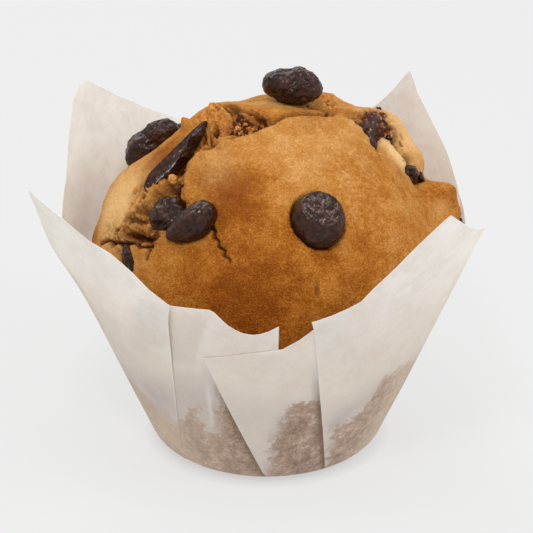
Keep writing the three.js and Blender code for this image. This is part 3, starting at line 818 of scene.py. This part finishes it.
def wrinkles(chip, place, bent, seed):
    """Height of a piece's skin over its smooth form: folds, creases, broad swells and fine grain."""
    folds = 1.0 - np.abs(lumps(bent, 3.4, seed)) * 2.6
    creases = 0.5 - np.abs(lumps(bent, 1.5, seed + 3)) * 1.8
    rise = chip["wrinkle"] * (2.0 * folds - 1.0 + 1.3 * creases + 1.6 * lumps(place, 5.0, seed + 5))
    return rise + (0.07 * lumps(place, 0.6, seed + 9) + 0.10 * lumps(bent, 1.0, seed + 13))


def chocolate_piece(chip, seed):
    bm = bmesh.new()
    bmesh.ops.create_icosphere(bm, subdivisions=6, radius=1.0)
    mesh = mesh_of(bm, chip["name"] + "_chocolate")
    v = coordinates(mesh)
    v /= np.linalg.norm(v, axis=1)[:, None]
    place = chip_surface(chip, v)
    bent = place + 0.8 * lumps(place, 2.2, seed + 7)[:, None]
    rise = wrinkles(chip, place, bent, seed)
    for towards, width, depth in chip.get("dimples", ()):
        towards = np.array(towards) / np.linalg.norm(towards)
        rise -= depth * bell(np.arccos(np.clip(v @ towards, -1, 1)), width)
    place += v * rise[:, None]
    bloomed = 0.08 * smooth(v[:, 2], 0.2, 0.9)
    for towards, level in chip.get("faces", ()):
        towards = np.array(towards) / np.linalg.norm(towards)
        over = np.maximum(place @ towards - level, 0)
        place -= (over * 0.85)[:, None] * towards
        if "bloom" in chip:
            face = smooth(over, 0.05, 0.5) * chip["bloom"]
            scratches = np.abs(lumps(bent * np.array([1.0, 2.2, 1.0]), 1.1, seed + 11))
            place += towards * (face * (0.55 * scratches - 0.12))[:, None]
            bloomed = np.maximum(bloomed, face)
    axes, middle = seat_axes(chip)
    move_vertices(mesh, place @ axes + middle + DOME_MIDDLE)
    paint(mesh, "bloomed", bloomed)
    return piece_of(mesh, chip["name"] + "_chocolate", CHOCOLATE, [chip["name"]])


def chocolate_specks():
    """Shavings of chocolate in the right crack, on its rim and below the top crust, joined as one piece."""
    bm = bmesh.new()
    for azimuth, elevation, reach, long, wide, spin in SPECKS:
        made = bmesh.ops.create_icosphere(bm, subdivisions=3, radius=1.0)["verts"]
        axes, middle = seat_axes(dict(at=(azimuth, elevation, reach), spin=spin))
        for vert in made:
            bumpy = 1 + 0.5 * noise.noise(vert.co * 1.7 + Vector(middle))
            place = np.array(vert.co) * (long, wide, wide * 0.8) * bumpy
            vert.co = Vector(place @ axes + middle) + Vector(DOME_MIDDLE)
    mesh = mesh_of(bm, "chocolate_specks")
    points = coordinates(mesh)
    move_vertices(mesh, points)
    paint(mesh, "bloomed", np.zeros(len(points)))
    piece_of(mesh, "chocolate_specks", CHOCOLATE)


for count, chip in enumerate(CHIPS):
    chocolate_piece(chip, count + 1)


# ---- Muffin -------------------------------------------------------------------------------------

# Each point of a crack is azimuth, elevation, half width and depth. The main crack runs over the top, from
# low on the left to low on the right.
MAIN_CRACK = [
    (-143, 8, 1.0, 0.8), (-142, 19, 2.6, 2.4), (-139, 31, 4.0, 3.2), (-134, 43, 5.2, 3.8),
    (-141, 55, 5.2, 3.6), (-145, 67, 4.2, 3.0), (-120, 76, 4.4, 2.8), (-70, 78, 3.2, 2.2),
    (-18, 72, 2.4, 2.0), (5, 65, 2.4, 2.4), (9, 58, 2.8, 2.6), (9, 52.5, 3.2, 2.2), (9.5, 47.5, 1.6, 1.8),
    (5.5, 44.5, 1.4, 1.6), (3, 41, 1.4, 1.4), (1, 36.5, 2.0, 1.6), (2, 31, 1.0, 0.8),
]
SIDE_CRACKS = [
    [(6, 57, 2.4, 3.0), (-4.5, 53.5, 1.9, 3.2), (-12, 51.5, 1.2, 2.4)],
    [(8, 63, 2.2, 2.4), (24, 67, 1.6, 1.6), (50, 62, 1.2, 1.0)],
    [(150, 50, 1.0, 1.2), (122, 58, 1.8, 2.0), (92, 52, 1.6, 1.8), (66, 40, 1.0, 1.0)],
]
FINE_CRACKS = [
    [(-164, 15, 0.4, 0.8), (-157.5, 19.4, 0.6, 1.3), (-153.5, 19.2, 0.8, 1.6), (-149.5, 21.6, 0.5, 1.2),
     (-145.5, 21.8, 0.7, 1.5), (-140, 24.6, 0.5, 1.3), (-136.5, 24.0, 0.7, 1.4), (-132, 25.7, 0.5, 1.2)],
    [(-154, 19, 0.5, 1.0), (-154, 23.5, 0.5, 1.2), (-151, 25.5, 0.6, 1.2), (-150, 28.5, 0.5, 1.3)],
    [(-133, 21.5, 0.5, 1.0), (-132, 25.5, 0.5, 1.1)],
    [(-111, 36, 0.5, 1.2), (-109.7, 34.8, 0.45, 1.5), (-109.6, 33, 0.5, 1.5), (-106.9, 31.8, 0.4, 1.4),
     (-107, 30.2, 0.4, 1.4), (-104.4, 29.3, 0.32, 1.2), (-104.5, 27.6, 0.3, 1.0), (-102.4, 26.8, 0.26, 0.8),
     (-102, 25.5, 0.2, 0.5)],
    [(-73.6, 19.5, 0.3, 0.5), (-74.2, 15.5, 0.3, 0.5)],
    [(-137, 49, 1.2, 2.6), (-133.5, 45.5, 1.5, 3.0), (-131.5, 42.5, 1.2, 2.4)],
    [(-143, 66, 0.7, 1.6), (-146, 63, 0.6, 1.4), (-143, 60.5, 0.5, 1.2)],
    [(-152, 71, 0.7, 1.4), (-149, 68, 0.6, 1.4)],
    [(-151, 78.5, 0.7, 1.6), (-140, 80.5, 0.5, 1.3)],
    [(-166, 74, 0.6, 1.2), (-166, 78, 0.9, 2.0), (-148, 81, 0.9, 2.2), (-112, 82.5, 0.8, 1.8),
     (-84, 81, 0.5, 1.0)],
    [(22, 76, 0.6, 1.4), (8, 73, 0.8, 1.6), (5, 67, 0.7, 1.4)],
    [(9, 50, 0.5, 1.0), (9.5, 46.5, 0.7, 1.8), (5.5, 45, 0.6, 1.8), (3, 41.5, 0.5, 1.4)],
    [(14.3, 42.8, 0.6, 0.9), (13.6, 42.2, 0.6, 0.9)],
    [(9, 43, 0.6, 0.8), (8.3, 42.6, 0.6, 0.8)],
    [(-1, 40.7, 0.4, 1.2), (-0.6, 40.3, 0.4, 1.2)],
]

# Edge of the big front plate of crust, where it stands over the torn crumb: azimuth and elevation.
PLATE_EDGE = [
    (-170, 13), (-163, 15.6), (-154, 20.2), (-148, 24.1), (-141.5, 24.6), (-133, 25.7), (-128, 27.7),
    (-125, 30.5), (-121.5, 36), (-121.5, 40.4), (-126, 41.3), (-129.5, 42.6), (-131.5, 44.2), (-133.5, 47.7),
    (-134.5, 51), (-138, 53.2), (-138.5, 56.4), (-140.5, 59.4), (-134, 60.5), (-128, 61), (-120, 63),
    (-116.5, 65), (-114, 68), (-102, 72.3), (-85, 77.3), (-55, 79.6), (-31, 77.4), (-7, 70.7), (4.5, 64),
    (6.5, 60.5), (1, 58.5), (-5.5, 55.5), (-12.5, 53.5), (-14, 51), (-8, 51.5), (-2.5, 52), (2.5, 51.8),
    (5, 48.8), (4, 47.3), (2, 44), (1.5, 41.5), (2, 39.5), (0, 38.2), (-5, 37.2), (-5.5, 36), (-2.5, 33.5),
    (0, 32.3), (3, 29), (3, 27),
]
PLATE_FOOT = [(10, 0), (-80, -30), (-170, -5)]
PLATE_MIDDLE = (-80, 40)

# Patches of broken crumb beside the plate, and where it is drawn into strings: azimuth, elevation, half width
# in degrees and amount.
ROUGH = [
    (-136, 25, 2.5, 0.8), (-131, 25.5, 2, 0.8), (-143, 21, 3, 0.8), (-150, 20.5, 3, 0.8),
    (-134, 28.5, 4, 0.8), (-156, 38, 2, 0.7), (-150, 37, 4, 0.9), (-148, 30, 4.5, 1.0), (-151, 24, 4, 0.8),
    (-143, 27, 5, 0.9), (-146, 42, 5, 0.8), (-135, 33, 4, 0.8), (-133, 28, 3.5, 0.7), (15, 53, 4, 0.9),
    (10, 46, 2.5, 0.6), (-158, 71, 6, 1.0), (-150, 75, 5, 0.9), (-20, 76, 5, 0.6),
]
STRINGY = [(-150, 68, 10, 1.0), (-128, 68, 6, 0.7)]

# Bumps and dips of the whole crust: azimuth, elevation, half width in degrees and height.
SWELLS = [
    (-70, 40, 30, 1.4), (-128, 58, 9, 0.8), (143, 51, 19, -6.6), (170, 22, 14, -1.2), (176, 74, 12, 2.6),
    (44, 58, 11, 2.5), (26, 43.5, 11, 6.6), (38, 53.5, 4, -1.4), (15, 32, 6, 2.6), (12, 25, 4, -2.0),
    (2.5, 25, 4.2, 4.4), (-2, 22, 8, 1.8), (-1, 31, 4, -2.4), (3, 15, 8, 5.6), (-16, 22, 7, -0.8),
    (95, 30, 22, 1.2), (-110, 12, 20, 0.6), (-168, 63.5, 1.7, 2.6), (-160, 77, 5, 0.8), (-5, 27.5, 2.5, -0.7),
    (-50, 87, 5, 0.9),
]

# Slow waves over the crust: a wave vector in radians per millimetre, a phase and a height.
WAVES = [
    ((0.21, 0.08, 0.13), 0.4, 0.35), ((-0.11, 0.24, 0.09), 1.9, 0.35), ((0.17, -0.19, 0.22), 3.3, 0.28),
    ((0.43, 0.21, -0.36), 0.9, 0.16), ((-0.31, 0.47, 0.29), 2.4, 0.16),
]

# Colours over the crust, each patch as azimuth, elevation, half width in degrees and amount.
BROWNING_AND_SHADING = [  # browner than its middle tone or, below zero, paler
    # (-160, 30) pales the left cheek: partly its own colour, partly painted light.
    (-78, 60, 16, -0.09), (-40, 58, 13, -0.09), (-160, 30, 16, -0.46), (-160, 49, 8, 0.5),
    (-141, 36, 7, 0.2), (-148, 60, 8, 0.1), (20, 42, 13, -0.44), (-104, 46, 11, 0.50), (-126, 50, 4, 0.12),
    # (-78, 37) and (-70, 28) are painted shadow that chip_front throws to its left and below it.
    (-130, 45, 3, 0.1), (40, 85, 7, -0.25), (-130, 85, 7, 0.15), (-78, 37, 5, 0.22), (-70, 28, 4, 0.18),
    (-3, 27, 6, 0.22), (-30, 42, 16, 0.06), (-83, 4, 8, -0.12), (-95, 15, 19, 0.50), (-122, 20, 13, 0.12),
    (-70, 22, 14, 0.12), (-54, 18, 16, 0.10), (3, 16, 8, 0.10), (150, 76, 12, -0.10), (60, 20, 22, 0.16),
    (120, 15, 24, 0.20), (90, 45, 18, -0.12),
]
RUDDY = [
    (-106, 47, 9, 0.9), (-38, 50, 12, 0.3), (-3, 29, 5, 0.4), (-157, 47, 6, 0.35), (-159, 23, 4, 0.4),
    (-144, 36, 6, 0.4), (-153, 38, 4, 0.3), (-150, 25, 5, 0.4), (-100, 20, 14, 0.2), (-52, 34, 10, 0.2),
    (80, 55, 14, 0.4),
]
STAINED = [  # purple-brown with chocolate that melted into the crumb
    (-136, 77.5, 2.2, 1.6), (-126, 78.5, 2.2, 1.6), (-97, 82.5, 2, 1.1), (-127, 73, 3, 1.0),
    (-113, 73, 3, 0.5), (-134, 44.5, 3.5, 1.6), (-137, 48, 2.5, 1.4), (-148, 20.5, 3, 1.2),
    (-139, 24.5, 2, 1.0), (-131, 25.5, 1.6, 1.0), (-159, 22, 4, 0.9), (-106, 79, 4, 0.5), (-30, 74, 6, 0.8),
    (9.5, 53.5, 5, 2.4), (9, 49, 4, 2.0), (20, 52.5, 3.5, 2.0), (-12, 39.5, 3, 0.9), (-150, 45, 5, 0.7),
    (-126, 34, 6, 0.8), (-136, 30, 5, 0.6),
]
PALE = [
    # (-161, 31) pales the left cheek: partly pale batter, partly painted light.
    (-161, 31, 11, 0.7), (-118, 56, 7, 0.2), (17, 41, 8, 0.4), (1, 60, 4, 0.4), (0, 49.5, 4, 0.6),
    (-3, 46, 4.5, 0.6), (-2, 42, 4, 0.6), (-1, 39, 3, 0.5), (-5, 22.2, 2.4, 0.3),
]
SMEARED = [(9.5, 52.5, 3.2, 1.0), (14, 53.5, 3, 0.9), (20, 52.5, 2.5, 0.7)]  # chocolate spread thin

CUBE_CUTS = 98  # of the cube that the muffin's mesh starts from
CROWDING = 1.35  # how much denser the mesh is at the top than below
FARTHEST = 70.0  # beyond the whole outline, as seen from the dome's middle
HALVINGS = 30


def muffin_ball():
    """Unit directions all round: a subdivided cube blown up to a ball, with finer faces along the cracks."""
    bm = bmesh.new()
    bmesh.ops.create_cube(bm, size=2.0)
    bmesh.ops.subdivide_edges(bm, edges=bm.edges, cuts=CUBE_CUTS, use_grid_fill=True)
    mesh = mesh_of(bm, "muffin_crumb")
    v = np.tan(coordinates(mesh) * math.pi / 4)
    v = crowd_upwards(v / np.linalg.norm(v, axis=1)[:, None])
    mesh.vertices.foreach_set("co", v.astype(np.float32).ravel())
    near = np.zeros(len(v), dtype=bool)
    for crack in [MAIN_CRACK, *SIDE_CRACKS, *FINE_CRACKS]:
        distance, half, _ = nearest_on_crack(crack, v)
        near |= distance < half * 1.1 + 0.7
    near |= patches(v, ROUGH) > 0.3
    bm = bmesh.new()
    bm.from_mesh(mesh)
    bm.verts.ensure_lookup_table()
    close = {bm.verts[i] for i in np.flatnonzero(near)}
    edges = [e for e in bm.edges if e.verts[0] in close or e.verts[1] in close]
    bmesh.ops.subdivide_edges(bm, edges=edges, cuts=1, use_grid_fill=True)
    bm.to_mesh(mesh)
    bm.free()
    v = coordinates(mesh)
    return mesh, v / np.linalg.norm(v, axis=1)[:, None]


def crowd_upwards(v):
    """Gathers the directions towards the top, where the crust is cracked."""
    z = 1 - 2 * ((1 - v[:, 2]) / 2) ** CROWDING
    flat = np.maximum(np.hypot(v[:, 0], v[:, 1]), 1e-9)
    stretch = np.sqrt(np.maximum(0, 1 - z * z)) / flat
    return np.stack([v[:, 0] * stretch, v[:, 1] * stretch, z], axis=1)


def fill_radius(z):
    """Radius of the crumb at a height inside the cup."""
    inset = PAPER + GAP
    tilt = math.radians(WALL_TILT)
    wall = WALL_START_R + (z - WALL_START_Z) * math.tan(tilt) - inset / math.cos(tilt)
    bend = np.maximum(0, (BASE_ROUNDING - inset) ** 2 - (BASE_ROUNDING - z) ** 2)
    return np.where(z >= BASE_ROUNDING, wall, np.minimum(BASE_FLAT_RADIUS + np.sqrt(bend), wall))


def body_radius(z):
    """The plain outline: the cup's inside as far as the crumb clings, then a narrower body, then the dome."""
    rise = (z - DOME_CENTRE) / DOME_HEIGHT
    dome = DOME_RADIUS * np.sqrt(np.maximum(0, 1 - rise**2))
    t = np.clip((z - CLING_HEIGHT) / (DOME_CENTRE - CLING_HEIGHT), 0, 1)
    low = float(fill_radius(np.array(CLING_HEIGHT)))
    neck = mix(low, DOME_RADIUS, 1 - (1 - t) ** BODY_BULGE)
    return np.where(z <= CLING_HEIGHT, fill_radius(z), np.where(rise >= 0, dome, neck))


def outline_reach(v):
    """Distance from the dome's middle to the plain outline, found by halving."""
    low, high = np.zeros(len(v)), np.full(len(v), FARTHEST)
    flat = np.hypot(v[:, 0], v[:, 1])
    for _ in range(HALVINGS):
        reach = (low + high) / 2
        z = DOME_CENTRE + v[:, 2] * reach
        within = (z > PAPER + GAP) & (z < DOME_CENTRE + DOME_HEIGHT) & (flat * reach < body_radius(z))
        low, high = np.where(within, reach, low), np.where(within, high, reach)
    return low


def nearest_on_crack(crack, v):
    """Distance over the dome to a crack's nearest stretch, with its half width and depth there."""
    best = np.full(len(v), np.inf)
    distance, half, depth = np.full(len(v), 1e3), np.ones(len(v)), np.zeros(len(v))
    for one, two in zip(crack, crack[1:]):
        a, b = direction(*one[:2]), direction(*two[:2])
        run = b - a
        share = np.clip((v - a) @ run / (run @ run), 0, 1)
        near = a + share[:, None] * run
        near /= np.linalg.norm(near, axis=1)[:, None]
        apart = np.linalg.norm(v - near, axis=1) * DOME_RADIUS
        width = mix(one[2], two[2], share)
        closer = apart / width < best
        best = np.where(closer, apart / width, best)
        distance = np.where(closer, apart, distance)
        half = np.where(closer, width, half)
        depth = np.where(closer, mix(one[3], two[3], share), depth)
    return distance, half, depth


def patches(v, table):
    """The sum of soft patches, each given as azimuth, elevation, half width in degrees and amount."""
    total = np.zeros(len(v))
    for azimuth, elevation, width, amount in table:
        away = np.degrees(np.arccos(np.clip(v @ direction(azimuth, elevation), -1, 1)))
        total += amount * bell(away, width)
    return total


def past_plate_edge(v):
    """Distance in millimetres inside the front plate's edge, and below zero outside it."""
    middle = direction(*PLATE_MIDDLE)
    across = np.cross([0, 0, 1], middle)
    across /= np.linalg.norm(across)
    upward = np.cross(middle, across)
    corners = [direction(*place) for place in PLATE_EDGE + PLATE_FOOT]
    x, y = v @ across, v @ upward
    within = np.zeros(len(v), dtype=bool)
    for one, two in zip(corners, corners[1:] + corners[:1]):
        low, high = one @ upward, two @ upward
        crossing = (low > y) != (high > y)
        at = one @ across + (y - low) / (high - low) * ((two - one) @ across)
        within ^= crossing & (x < at)
    within &= v @ middle > 0.1
    edge = [(azimuth, elevation, 1.0, 0.0) for azimuth, elevation in PLATE_EDGE]
    distance = nearest_on_crack(edge, v)[0]
    return np.where(within, distance, -distance)


GRAIN_SHIFT = np.array([3.1, 8.3, 5.9])  # as SEED_SHIFT, for the grains


def nodules(points, size, seed):
    """Torn crumb as a heap of grains: 0 in the gaps between them and about 1 on their tops."""
    shifted = points / size + GRAIN_SHIFT * seed
    gaps = np.array([d[1] - d[0] for d in (noise.voronoi(p)[0] for p in shifted.tolist())])
    return np.sqrt(np.clip(gaps * 1.6, 0, 1))


def torn_relief(point, v):
    """Height of the torn crumb over its floor: grains of two sizes, and strings where the dough stretched."""
    bent = point + 0.8 * lumps(point, 1.5, 9)[:, None] + 0.4 * lumps(point, 0.7, 10)[:, None]
    grains = 1.5 * nodules(bent, 2.5, 1) + 0.9 * nodules(bent, 1.2, 2) + 0.25 * lumps(point, 0.5, 13)
    strings = np.abs(lumps(point * np.array([1.0, 0.4, 0.4]), 2.0, 4)) * 5.5
    strings += np.abs(lumps(point * np.array([1.0, 0.6, 0.6]), 0.9, 5)) * 2.0
    relief = mix(grains, strings + 0.2, np.clip(patches(v, STRINGY), 0, 1))
    return relief + 1.3 * lumps(point, 5.0, 7) - 1.4


def open_wide_cracks(v, height, ragged, plate):
    """Sinks the height in the main and side cracks and raises their banks, but not under the front plate.

    Gives how torn each point is, and how near it is to a crack.
    """
    torn, beside = np.zeros(len(v)), np.zeros(len(v))
    for crack in [MAIN_CRACK, *SIDE_CRACKS]:
        distance, half, depth = nearest_on_crack(crack, v)
        edge = distance + ragged * np.minimum(1, half / 2.2)
        inside = (1 - smooth(edge, half * 0.65, half * 0.95)) * (1 - plate)
        bank = 0.28 * depth * bell(distance - half * 1.5, half * 0.6) * (1 - inside) * (1 - plate)
        height += bank - depth * inside
        torn = np.maximum(torn, inside)
        beside = np.maximum(beside, 1 - smooth(distance - half, 0, 2.5))
    return torn, beside


def open_fine_cracks(v, height, ragged, torn):
    """Sinks the height in the fine cracks. Gives how torn each point is, and the painted shade of its
    hollows, darker the deeper the crack.
    """
    sunken = np.zeros(len(v))
    for crack in FINE_CRACKS:
        distance, half, depth = nearest_on_crack(crack, v)
        inside = 1 - smooth(distance + 0.5 * ragged * np.minimum(1, half), half * 0.4, half * 1.1)
        height -= depth * inside
        torn = np.maximum(torn, inside * 0.8)
        sunken = np.maximum(sunken, inside * np.minimum(1, depth / 1.3))
    return torn, sunken


def paint_crust(mesh, point, v, torn, sunken):
    """Paints the crust's colours, with its painted shade and light, each as an attribute."""
    low_rim = 0.22 * (1 - smooth(point[:, 2], -6, 14))
    browned = 0.44 + patches(v, BROWNING_AND_SHADING) + low_rim + 0.07 * lumps(point, 9, 6)
    paint(mesh, "torn", torn)
    paint(mesh, "sunken", np.clip(sunken, 0, 0.92))
    paint(mesh, "browned", np.clip(browned, 0.02, 0.98))
    paint(mesh, "ruddy", np.clip(patches(v, RUDDY), 0, 1))
    paint(mesh, "stained", np.clip(patches(v, STAINED) * (0.25 + torn), 0, 1.6))
    paint(mesh, "smeared", np.clip(patches(v, SMEARED) * torn, 0, 0.85))
    paint(mesh, "pale", np.clip(patches(v, PALE), 0, 1))


def muffin():
    """The crumb and its crust as one closed body, with a pocket under each chocolate piece.

    Gives the places and outward directions where loose crumbs can lie.
    """
    mesh, v = muffin_ball()
    point = v * outline_reach(v)[:, None]
    baked = smooth(point[:, 2], -6, 8)  # below this the paper keeps the crumb smooth
    ragged = 1.1 * lumps(point, 3.4, 1) + 0.7 * lumps(point, 1.5, 2)
    coarse, medium, small = lumps(point, 2.6, 3), lumps(point, 1.3, 4), lumps(point, 0.7, 5)
    height = patches(v, SWELLS)
    for wave, phase, rise in WAVES:
        height += rise * np.sin(point @ np.array(wave) + phase)
    lip = past_plate_edge(v) + 0.8 * lumps(point, 3.0, 11) + 0.3 * lumps(point, 1.1, 12)
    plate = smooth(lip, -0.25, 0.45)
    torn, beside = open_wide_cracks(v, height, ragged, plate)
    height += beside * plate * (0.7 * bell(lip - 2.0, 1.5) - 0.5 * bell(lip - 0.2, 0.6))
    gap = beside * (1 - plate) * bell(lip + 1.0, 0.9)  # the shadowed gap under the plate's edge
    height -= 1.8 * gap
    torn, sunken = open_fine_cracks(v, height, ragged, torn)
    rough = np.clip(patches(v, ROUGH), 0, 1) * (1 - plate)
    torn = np.maximum(torn, rough * smooth(medium + 0.5 * coarse, -0.5, 0.1))
    open_crumb = torn > 0.01
    relief = np.zeros(len(v))
    relief[open_crumb] = torn_relief(point[open_crumb], v[open_crumb])
    relief -= 1.2 * gap
    height += torn * relief
    height += (1 - torn) * (0.14 * coarse + 0.08 * medium + 0.07 * small)
    point = press_pockets(point + v * (baked * height)[:, None], v)
    move_vertices(mesh, point + DOME_MIDDLE)
    # Painted shade in the low places between the grains, and in the gap under the plate's edge.
    sunken = np.maximum(sunken, torn * smooth(-relief, 0.1, 1.2) * 0.85)
    paint_crust(mesh, point, v, torn, np.maximum(sunken, gap))
    piece_of(mesh, "muffin_crumb", CRUST, ["muffin_body"])
    held = (torn > 0.7) & (beside > 0.5)  # the floors of the cracks
    return point[held], v[held]


POCKET_GAP = 0.15  # between a piece and its pocket
POCKET_DEPTH = 5.0  # the deepest that a pocket sinks


def press_pockets(point, v):
    """Sinks the crust under each chocolate piece, down to just below the piece's own skin."""
    for chip in CHIPS:
        axes, middle = seat_axes(chip)
        size = np.array(chip["size"]) * chip.get("sunk", 1.02) + POCKET_GAP
        start, step = (-middle @ axes.T) / size, (v @ axes.T) / size
        a = (step**2).sum(1)
        b = (step * start).sum(1)
        c = (start**2).sum() - 1
        inside = b * b - a * c
        hit = inside > 0
        low = (-b - np.sqrt(np.maximum(inside, 0))) / a
        hit &= low > 0
        reach = np.linalg.norm(point, axis=1)
        sunk = np.minimum(reach, np.maximum(low, reach - POCKET_DEPTH))
        point = v * np.where(hit, sunk, reach)[:, None]
    return point


SMALL_CRUMBS = 170
CRUMB_RADII = (0.25, 0.3, 0.35, 0.4, 0.55)
# Azimuth, elevation, distance from the dome's middle and radius.
LARGE_CRUMBS = [(-140, 47.5, 41.0, 1.15), (-150.5, 40, 41.4, 0.8), (-155.5, 38.3, 41.5, 0.9)]


def crumbs(places, outwards):
    """Loose crumbs lying in the cracks, joined as one piece."""
    chance = random.Random(4)
    bm = bmesh.new()
    for _ in range(SMALL_CRUMBS):
        k = chance.randrange(len(places))
        size = chance.choice(CRUMB_RADII)
        made = bmesh.ops.create_icosphere(bm, subdivisions=2, radius=size)["verts"]
        stretch = Vector([chance.uniform(0.7, 1.25) for _ in range(3)])
        shift = Vector([chance.uniform(-50, 50) for _ in range(3)])
        middle = Vector(places[k] + outwards[k] * size * chance.uniform(-0.2, 0.5)) + Vector(DOME_MIDDLE)
        for vert in made:
            bumpy = 1 + 0.9 * noise.noise(vert.co / size * 1.6 + shift)
            vert.co = middle + vert.co * stretch * bumpy
    for azimuth, elevation, reach, size in LARGE_CRUMBS:
        made = bmesh.ops.create_icosphere(bm, subdivisions=4, radius=size)["verts"]
        middle = Vector(direction(azimuth, elevation) * reach) + Vector(DOME_MIDDLE)
        for vert in made:
            vert.co = middle + vert.co * (1 + 0.25 * noise.noise(vert.co * 1.4 + middle))
    mesh = mesh_of(bm, "crack_crumbs")
    points = coordinates(mesh)
    move_vertices(mesh, points)
    paint(mesh, "torn", np.full(len(points), 1.0))
    paint(mesh, "stained", smooth(lumps(points, 7, 8), 0.15, 0.4) * 0.6)
    paint(mesh, "pale", np.full(len(points), 0.12))
    piece_of(mesh, "crack_crumbs", CRUST)


crumbs(*muffin())
chocolate_specks()


# ---- Floor, light and camera --------------------------------------------------------------------


FLOOR_HALF = 6.0  # half the floor's side, in metres as all lengths of this section
FLOOR_DROP = 0.00005  # keeps the floor just under the case
SKY_STRENGTH = 0.68
LAMP_AIM = 0.04  # height of the point that the lamps face
# Soft boxes: azimuth, elevation, distance from that point, side and power.
LAMPS = {
    "key": (-105, 55, 0.9, 0.17, 2.35),
    "top": (-100, 80, 0.9, 0.14, 0.8),
    "back": (110, 40, 0.9, 0.5, 1.9),
    "fill": (-25, 40, 0.9, 0.4, 2.0),
}
CAMERA_AIM = 43.6 * MM  # height of the point that the camera faces
CAMERA_DISTANCE = 0.6
CAMERA_TILT = 25  # degrees below level
CAMERA_LENS = 170.2


def floor():
    bm = bmesh.new()
    bmesh.ops.create_grid(bm, x_segments=8, y_segments=8, size=FLOOR_HALF)
    bmesh.ops.translate(bm, verts=bm.verts, vec=(0, 0, -FLOOR_DROP))
    mesh = mesh_of(bm, "floor")
    mesh.materials.append(floor_material())
    sheet = bpy.data.objects.new("floor", mesh)
    bpy.context.scene.collection.objects.link(sheet)


def soft_box(name, azimuth, elevation, distance, side, power):
    """A square lamp that faces the muffin."""
    lamp = bpy.data.lights.new(name, "AREA")
    lamp.size = side
    lamp.energy = power
    made = bpy.data.objects.new(name, lamp)
    towards = Vector(direction(azimuth, elevation))
    made.location = towards * distance + Vector((0, 0, LAMP_AIM))
    made.rotation_euler = towards.to_track_quat("Z", "Y").to_euler()
    bpy.context.scene.collection.objects.link(made)


def light_and_camera():
    scene = bpy.context.scene
    world = bpy.data.worlds.new("studio")
    world.use_nodes = True
    sky = world.node_tree.nodes["Background"]
    sky.inputs["Color"].default_value = (1.0, 1.0, 1.0, 1)
    sky.inputs["Strength"].default_value = SKY_STRENGTH
    scene.world = world
    for name, lamp in LAMPS.items():
        soft_box(name, *lamp)
    camera = bpy.data.cameras.new("camera")
    camera.lens = CAMERA_LENS
    camera.sensor_width = 36
    camera.clip_start = 0.01
    seen_from = bpy.data.objects.new("camera", camera)
    tilt = math.radians(CAMERA_TILT)
    view = Vector((0, math.cos(tilt), -math.sin(tilt)))
    seen_from.location = Vector((0, 0, CAMERA_AIM)) - view * CAMERA_DISTANCE
    seen_from.rotation_euler = view.to_track_quat("-Z", "Y").to_euler()
    scene.collection.objects.link(seen_from)
    scene.camera = seen_from
    scene.view_settings.view_transform = "Standard"


floor()
light_and_camera()
